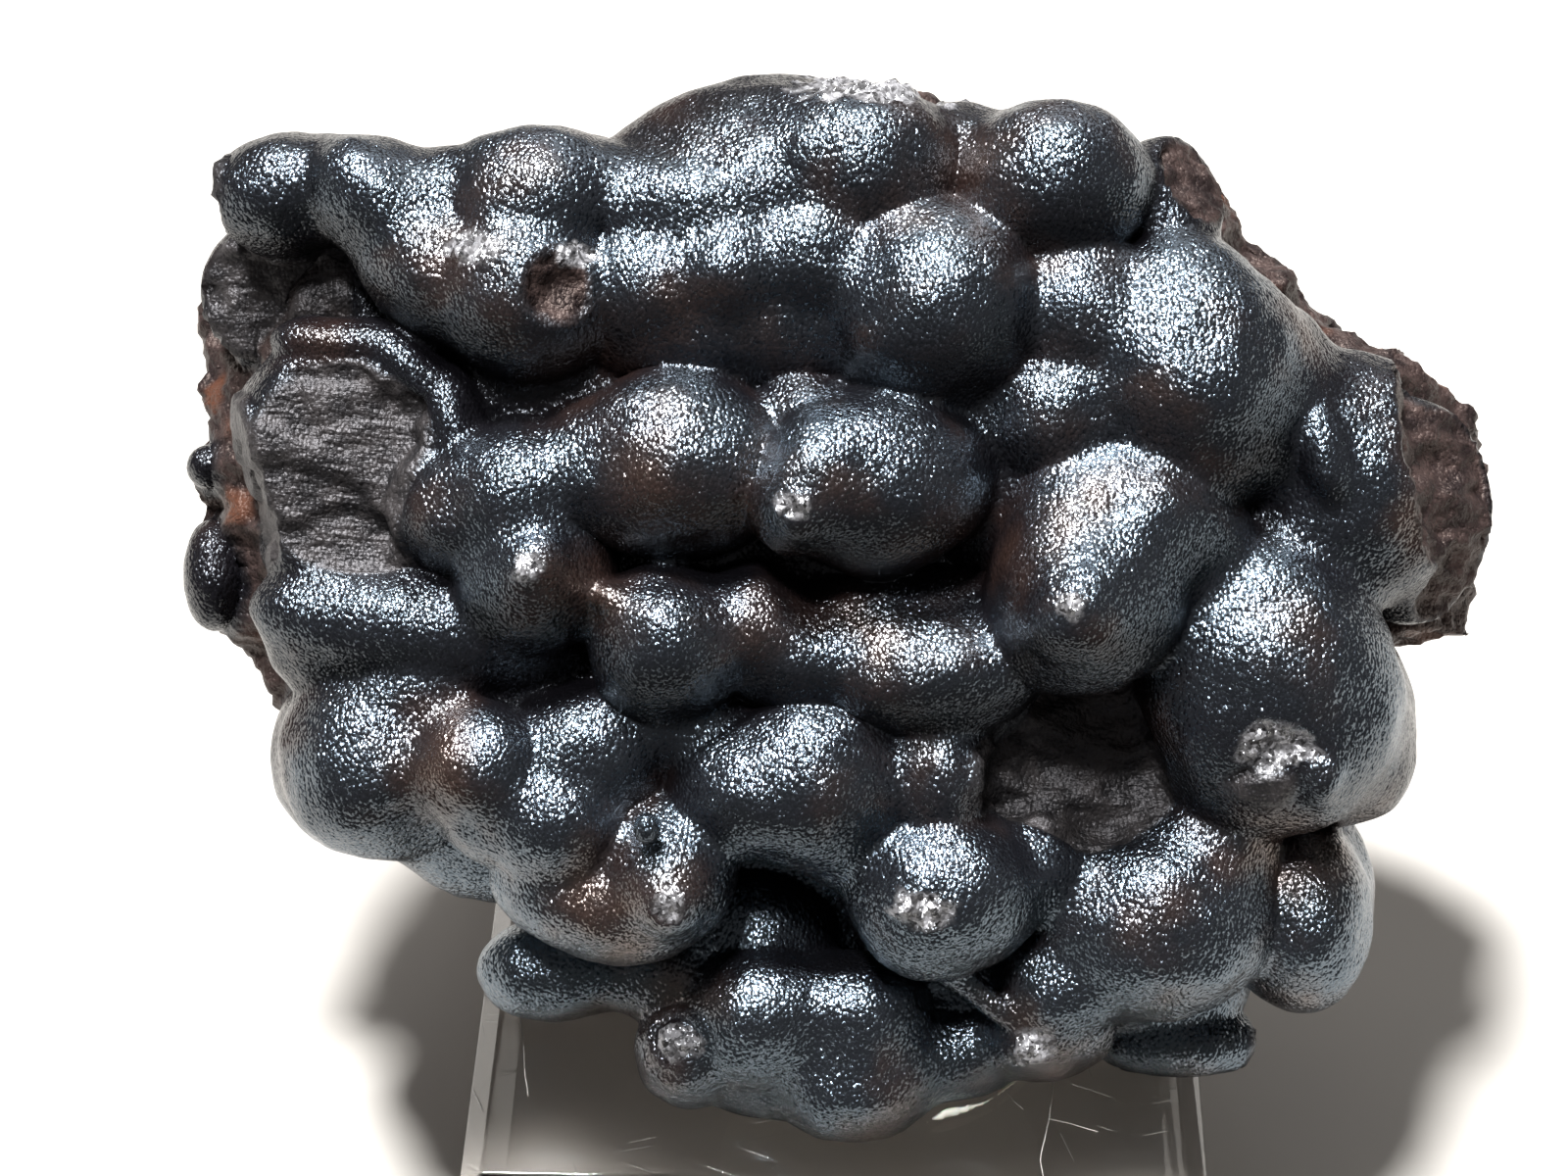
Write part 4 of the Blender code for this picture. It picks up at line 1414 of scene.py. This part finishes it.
    def scars(self, points: np.ndarray) -> tuple[np.ndarray, np.ndarray]:
        """Finds where flakes have come off.

        Args:
            points: Places in the face frame, in metres.

        Returns:
            1 where a flake has come off, and how deep each point sinks, in metres.
        """
        torn = np.zeros(len(points))
        sunk = np.zeros(len(points))
        for chip in CHIPS:
            share = chip.share(points, self.stance)
            torn = np.maximum(torn, share)
            sunk = np.maximum(sunk, share * chip.sink * MM)
        bared = np.nonzero(torn)[0]
        sunk[bared] += torn[bared] * self.torn_relief.rise(points[bared], "VORONOI_F1")
        return torn, sunk

    def rings(self, points: np.ndarray) -> np.ndarray:
        """Works out the growth rings round the chipped noses.

        Args:
            points: Places in the face frame, in metres.

        Returns:
            The height at each point, in metres.
        """
        height = np.zeros(len(points))
        for nose in NOSES:
            from_nose = points / MM - (nose.across, nose.up, 0.0)
            reach = np.hypot(from_nose[:, 0], from_nose[:, 1])
            front = points[:, 2] / MM > self.stance.mean_face(nose.across, nose.up) + nose.above
            wave = np.cos(reach / nose.pitch * 2 * math.pi) * nose.relief * MM
            height += wave * smoothstep(nose.reach, nose.fade * nose.reach, reach) * front
        return height

    def skin_field(self, points: np.ndarray) -> tuple[np.ndarray, ...]:
        """Works out how points lie to the lumps, blended where lumps meet.

        Args:
            points: Places in the face frame, in metres.

        Returns:
            The blended distance to the lumps, its slope, the distance to the
            nearest lump, and three weights: 1 on any flat break, 1 on a
            weathered one, and 1 on a hackly one.
        """
        total = np.zeros(len(points))
        slope = np.zeros((len(points), 3))
        nearest = np.full(len(points), np.inf)
        on_flat, on_rind, on_hackle = np.zeros((3, len(points)))
        for lump in SKIN:
            from_centre = points - np.array(lump.centre(self.stance))
            reach = self.lump_reach * max(lump.half_size(self.stance))
            close = np.nonzero(np.einsum("ij,ij->i", from_centre, from_centre) < reach**2)[0]
            distance, outward, here = self.lump_field(lump, from_centre[close])
            marked = [on_flat]
            if lump.broke is Break.WEATHERED:
                marked.append(on_rind)
            if lump.broke is not Break.FRESH:
                marked.append(on_hackle)
            for marks in marked:
                marks[close] = np.maximum(marks[close], here)
            nearest[close] = np.minimum(nearest[close], distance)
            weight = np.exp(-np.clip(distance / self.fillet, -EXPONENT, EXPONENT))
            total[close] += weight
            slope[close] += weight[:, None] * outward
        total = np.maximum(total, NEAR_ZERO * MM)
        blended = -self.fillet * np.log(total)
        return blended, slope / total[:, None], nearest, on_flat, on_rind, on_hackle

    def lump_field(self, lump: Lump, from_centre: np.ndarray) -> tuple[np.ndarray, ...]:
        """Works out how points lie to one lump.

        Args:
            lump: The lump.
            from_centre: The points as seen from its centre, in metres.

        Returns:
            The distance to the lump, its slope, and 1 on the lump's flat breaks.
        """
        half = np.array(lump.half_size(self.stance))
        turn = np.array(lump.turned())
        local = from_centre @ turn / half
        radius = np.linalg.norm(local, axis=1) + NEAR_ZERO
        lean = local / half
        steep = np.linalg.norm(lean, axis=1) + NEAR_ZERO
        distance = radius * (radius - 1.0) / steep
        outward = (lean / steep[:, None]) @ turn.T
        on_flat = np.zeros(len(local))
        for x, y, z, at in lump.flats:
            way = np.array(Vector((x, y, z)).normalized())
            scale = np.linalg.norm(way / half)
            flat = (local @ way - at) / scale
            here = smoothstep(*self.flat_depth, flat) * smoothstep(*self.flat_rim, radius)
            on_flat = np.maximum(on_flat, here)
            past = flat > distance
            distance = np.where(past, flat, distance)
            outward = np.where(past[:, None], (turn @ (way / half)) / scale, outward)
        return distance, outward, on_flat

    def seat(self, mesh: Mesh) -> None:
        """Moves the points that stand out of the solid's box onto it."""
        points = read_points(mesh)
        low, high = (np.array(corner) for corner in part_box("goethite_specimen"))
        write_points(mesh, np.clip(points, low, high))

    def thin_out(self, mesh: Mesh) -> Piece:
        """Thins the hidden back more than the face, to the piece's triangles.

        Args:
            mesh: The refined mesh in the row frame.

        Returns:
            The thinned piece.
        """
        piece = add_object("goethite_crust", mesh)
        points = read_points(mesh)
        lean, over = self.stance.stand_up, points[:, 2] - self.stance.face_centre.z
        behind = points[:, 1] * math.sin(lean) - over * math.cos(lean)
        share = smoothstep(*self.back, behind) * self.back_steps
        group = piece.vertex_groups.new(name="back")
        for level in range(1, self.back_steps + 1):
            chosen = np.nonzero((share > level - 1) & (share <= level))[0]
            group.add(chosen.tolist(), level / self.back_steps, "REPLACE")
        triangles = 2 * len(mesh.polygons)
        thin = piece.modifiers.new("thin", "DECIMATE")
        thin.vertex_group = "back"
        thin.vertex_group_factor = self.back_factor
        thin.ratio = min(1.0, self.faces / triangles)
        thinned = add_object("goethite_crust_fine", plain_mesh(piece))
        thinned.data.shade_smooth()
        return thinned


@dataclass
class PuttyPad:
    """The pad of putty under the specimen.

    Attributes:
        voxel: Size of a cell when the solid is made over, in metres.
        soft_passes: Smoothing passes after that.
    """

    voxel: float = 0.35 * MM
    soft_passes: int = 4

    def build(self) -> Piece:
        """Copies the solid, softens it and dresses it.

        Returns:
            The finished piece.
        """
        copy = add_object("putty_copy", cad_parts["putty_pad"].data.copy())
        merge = copy.modifiers.new("merge", "WELD")
        merge.merge_threshold = SAME_POINT
        fuse = copy.modifiers.new("fuse", "REMESH")
        fuse.mode = "VOXEL"
        fuse.voxel_size = self.voxel
        soft = copy.modifiers.new("soft", "SMOOTH")
        soft.iterations = self.soft_passes
        piece = add_object("kneaded_putty", plain_mesh(copy))
        low, high = (np.array(corner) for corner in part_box("putty_pad"))
        write_points(piece.data, np.clip(read_points(piece.data), low, high))
        coat(piece, PuttyFinish().make())
        piece.data.shade_smooth()
        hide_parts("putty_pad")
        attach(piece, "root")
        return piece


@dataclass(frozen=True)
class Lint:
    """Loose fibres lying on the block.

    Attributes:
        strands: Each fibre's places in mm in the row frame.
        thick: Radius of a fibre, in metres.
        sides: Sides of a fibre.
        steps: Pieces that each stretch is divided in.
        wander: How far a fibre strays sideways, in metres.
        bend: Length over which it strays, in metres.
        tip: Share of its thickness that a fibre has at its ends.
    """

    strands: tuple[tuple[tuple[float, float, float], ...], ...] = (
        ((-22.5, -8.4, 12.8), (-22.0, -11.5, 12.9), (-21.6, -14.3, 12.8), (-21.2, -16.7, 12.8)),
        (
            (15.1, -14.2, 13.2), (14.7, -17.6, 12.9), (14.2, -20.3, 12.8),
            (14.0, -21.7, 12.8), (14.2, -23.4, 12.8),
        ),
        ((14.5, -17.9, 12.8), (16.2, -18.3, 12.8), (18.0, -19.0, 12.8)),
        ((11.7, -15.2, 12.8), (12.4, -16.4, 12.8), (12.9, -17.0, 12.8)),
    )
    thick: float = 0.030 * MM
    sides: int = 6
    steps: int = 6
    wander: float = 0.10 * MM
    bend: float = 1.6 * MM
    tip: float = 0.6

    def build(self) -> Piece:
        """Sweeps the fibres.

        Returns:
            The finished piece.
        """
        bm = bmesh.new()
        for strand in self.strands:
            self.sweep(bm, self.course(strand))
        mesh = bpy.data.meshes.new("lint")
        bm.to_mesh(mesh)
        bm.free()
        piece = add_object("lint_fibres", mesh)
        mesh.materials.append(LintFinish().make())
        mesh.shade_smooth()
        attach(piece, "root")
        return piece

    def course(self, strand: tuple[tuple[float, float, float], ...]) -> list[Vector]:
        """Fills in a fibre's course.

        Args:
            strand: The fibre's places, in mm.

        Returns:
            Points along it, straying a little, in metres.
        """
        places = [Vector(place) * MM for place in strand]
        course = []
        for start, end in zip(places, places[1:]):
            for step in range(self.steps):
                place = start.lerp(end, step / self.steps)
                stray = noise.noise_vector(place / self.bend) * self.wander
                course.append(place + Vector((stray.x, stray.y, abs(stray.z))))
        return course + [places[-1]]

    def sweep(self, bm: bmesh.types.BMesh, course: list[Vector]) -> None:
        """Adds a tube along a course of points, tapered at its ends.

        Args:
            bm: The mesh that it is added to.
            course: Points along the tube.
        """
        rings = []
        for i, place in enumerate(course):
            ahead = (course[min(i + 1, len(course) - 1)] - course[max(i - 1, 0)]).normalized()
            turn = ahead.to_track_quat("Z", "Y")
            radius = self.thick * (self.tip if i in (0, len(course) - 1) else 1.0)
            ring = []
            for k in range(self.sides):
                angle = 2 * math.pi * k / self.sides
                rim = turn @ Vector((math.cos(angle), math.sin(angle), 0.0)) * radius
                ring.append(bm.verts.new(place + rim))
            rings.append(ring)
        for low, high in zip(rings, rings[1:]):
            for k in range(self.sides):
                j = (k + 1) % self.sides
                bm.faces.new((low[k], low[j], high[j], high[k]))
        bm.faces.new(reversed(rings[0]))
        bm.faces.new(rings[-1])


@dataclass
class AcrylicBlock:
    """The clear block that the specimen is mounted on.

    Attributes:
        edge_round: Width of the polished round on each edge, in metres.
        edge_steps: Facets across that round.
        edge_turn: Smallest turn of the faces that counts as an edge, in radians.
    """

    edge_round: float = 0.22 * MM
    edge_steps: int = 3
    edge_turn: float = math.radians(20.0)

    def build(self) -> Piece:
        """Rounds the solid's edges and gives it its clear finish.

        Returns:
            The finished piece.
        """
        copy = add_object("acrylic_copy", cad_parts["acrylic_block"].data.copy())
        merge = copy.modifiers.new("merge", "WELD")
        merge.merge_threshold = SAME_POINT
        polish = copy.modifiers.new("polish", "BEVEL")
        polish.width = self.edge_round
        polish.segments = self.edge_steps
        polish.limit_method = "ANGLE"
        polish.angle_limit = self.edge_turn
        polish.harden_normals = True
        piece = add_object("polished_acrylic", plain_mesh(copy))
        coat(piece, AcrylicFinish().make())
        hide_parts("acrylic_block")
        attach(piece, "root")
        return piece


# Camera and studio


@dataclass(frozen=True)
class PhotoView:
    """The photograph's view, worked out from the block's front top edge.

    Attributes:
        frame_wide: Width of the photograph in pixels.
        frame_high: Height of the photograph in pixels.
        focal: Focal length in pixels.
        pitch: How far the view looks down, in radians.
        turn: How far the view turns left of +Y, in radians.
        edge_middle: Where the edge's middle lies, in pixels.
        edge_wide: Length of the edge in pixels.
        edge_real: Length of the edge in metres.
        edge_place: The edge's middle in the row frame, in metres.
        sensor: Width of the sensor that the lens is worked out for, in mm.
        clip: Nearest and farthest distance that is drawn, in metres.
    """

    frame_wide: float = 1600.0
    frame_high: float = 1200.0
    focal: float = 3840.0
    pitch: float = math.radians(38.0)
    turn: float = math.radians(1.6)
    edge_middle: tuple[float, float] = (850.5, 1203.5)
    edge_wide: float = 769.0
    edge_real: float = 50.8 * MM
    edge_place: Vector = Vector((0.0, -23.8, 12.7)) * MM
    sensor: float = 36.0
    clip: Span = (0.01, 20.0)

    def axes(self) -> tuple[Vector, Vector, Vector]:
        """Works out how the camera lies.

        Returns:
            The view's right, up and forward directions.
        """
        level = Vector((-math.sin(self.turn), math.cos(self.turn), 0.0))
        right = Vector((math.cos(self.turn), math.sin(self.turn), 0.0))
        forward = level * math.cos(self.pitch) - Vector((0, 0, 1)) * math.sin(self.pitch)
        up = level * math.sin(self.pitch) + Vector((0, 0, 1)) * math.cos(self.pitch)
        return right, up, forward

    def build(self) -> Piece:
        """Makes the camera and sets it as the scene's.

        Returns:
            The camera.
        """
        right, up, forward = self.axes()
        away = self.focal * self.edge_real / self.edge_wide
        aside = (self.edge_middle[0] - self.frame_wide / 2) / self.focal * away
        below = (self.edge_middle[1] - self.frame_high / 2) / self.focal * away
        data = bpy.data.cameras.new("photo_camera")
        data.sensor_width = self.sensor
        data.lens = self.focal / self.frame_wide * data.sensor_width
        camera = add_object("photo_camera", data)
        turned = Matrix((right, up, -forward)).transposed().to_4x4()
        turned.translation = self.edge_place - right * aside + up * below - forward * away
        camera.matrix_world = turned
        data.clip_start, data.clip_end = self.clip
        bpy.context.scene.camera = camera
        return camera


@dataclass(frozen=True)
class HardLamp:
    """A hard lamp high over the table.

    Attributes:
        name: Its name.
        height: Its height over the horizon, in radians.
        from_left: How far round to the camera's left it stands, in radians.
        power: Its strength.
        softness: The angle that it spans, in radians.
    """

    name: str
    height: float
    from_left: float
    power: float
    softness: float

    def build(self, view: PhotoView) -> Piece:
        """Hangs the lamp.

        Args:
            view: The camera's view, which it is placed from.

        Returns:
            The lamp.
        """
        aside = view.turn - self.from_left
        level = Vector((math.sin(aside), -math.cos(aside), 0.0))
        toward = level * math.cos(self.height) + Vector((0, 0, 1)) * math.sin(self.height)
        data = bpy.data.lights.new(self.name, "SUN")
        data.energy = self.power
        data.angle = self.softness
        lamp = add_object(self.name, data)
        lamp.rotation_mode = "QUATERNION"
        lamp.rotation_quaternion = toward.to_track_quat("Z", "Y")
        return lamp


@dataclass(frozen=True)
class Studio:
    """A sheet of white paper, hard lamps and dim surroundings.

    Attributes:
        floor_half_wide: Half width of the paper, in metres.
        floor_front: Where the paper ends towards the camera, in metres.
        floor_back: Where it ends behind the specimen, in metres.
        floor_gap: How far it lies under the block, in metres.
        paper, paper_rough: Colour and roughness of the paper.
        key: The lamp that throws the shadows.
        front: The lamp near the camera.
        fill_place: Where the soft lamp hangs, in metres.
        fill_side: Its side, in metres.
        fill_power: Its strength in watts.
        surround, surround_level: Colour and strength of the room's light.
    """

    floor_half_wide: float = 0.5
    floor_front: float = -0.050
    floor_back: float = 1.0
    floor_gap: float = 0.05 * MM
    paper: str = "#cac6c0"
    paper_rough: float = 0.9
    key: HardLamp = HardLamp("key_lamp", math.radians(79.0), math.radians(118.0), 9.0, math.radians(12.0))
    front: HardLamp = HardLamp("front_lamp", math.radians(70.0), math.radians(26.0), 3.4, math.radians(8.0))
    fill_place: Vector = Vector((0.15, 0.70, 0.75))
    fill_side: float = 0.8
    fill_power: float = 2.4
    surround: str = "#b6b1ae"
    surround_level: float = 0.26

    def build(self, view: PhotoView) -> None:
        """Makes the floor and the lights.

        Args:
            view: The camera's view, which the key lamp is placed from.
        """
        self.build_floor()
        self.key.build(view)
        self.build_fill()
        self.build_surround()

    def build_floor(self) -> None:
        """Lays the paper."""
        mesh = bpy.data.meshes.new("paper_floor")
        half, front, back, low = self.floor_half_wide, self.floor_front, self.floor_back, -self.floor_gap
        corners = [(-half, front, low), (half, front, low), (half, back, low), (-half, back, low)]
        mesh.from_pydata(corners, [], [(0, 1, 2, 3)])
        floor = add_object("paper_floor", mesh)
        material, _, shader = new_material("white_paper")
        shader.inputs["Base Color"].default_value = linear(self.paper)
        shader.inputs["Roughness"].default_value = self.paper_rough
        mesh.materials.append(material)

    def light_front(self, view: PhotoView, lit_pieces: list[Piece]) -> None:
        """Adds the lamp near the camera, flagged off the table and the block.

        Args:
            view: The camera's view, which the lamp is placed from.
            lit_pieces: The pieces that it lights.
        """
        lamp = self.front.build(view)
        lit = bpy.data.collections.new("lit_by_front_lamp")
        for piece in lit_pieces:
            lit.objects.link(piece)
        lamp.light_linking.receiver_collection = lit

    def build_fill(self) -> None:
        """A soft lamp high behind the specimen, which opens up the shadows."""
        data = bpy.data.lights.new("fill_lamp", "AREA")
        data.size = self.fill_side
        data.energy = self.fill_power
        lamp = add_object("fill_lamp", data)
        lamp.location = self.fill_place
        lamp.rotation_mode = "QUATERNION"
        lamp.rotation_quaternion = self.fill_place.to_track_quat("Z", "Y")

    def build_surround(self) -> None:
        """The dim room round the table."""
        world = bpy.data.worlds.new("dim_room")
        world.use_nodes = True
        shade = world.node_tree.nodes["Background"]
        shade.inputs["Color"].default_value = linear(self.surround)
        shade.inputs["Strength"].default_value = self.surround_level
        bpy.context.scene.world = world
        bpy.context.scene.view_settings.view_transform = "Standard"


def main() -> None:
    """Builds the view, the studio and the four pieces, in order."""
    logging.basicConfig(level=logging.INFO)
    view = PhotoView()
    view.build()
    studio = Studio()
    studio.build(view)
    pieces = []
    for maker in (AcrylicBlock(), PuttyPad(), Specimen(), Lint()):
        piece = maker.build()
        pieces.append(piece)
        LOG.info("%s: %d faces", piece.name, len(piece.data.polygons))
    studio.light_front(view, pieces[1:])


if __name__ == "__main__":
    main()
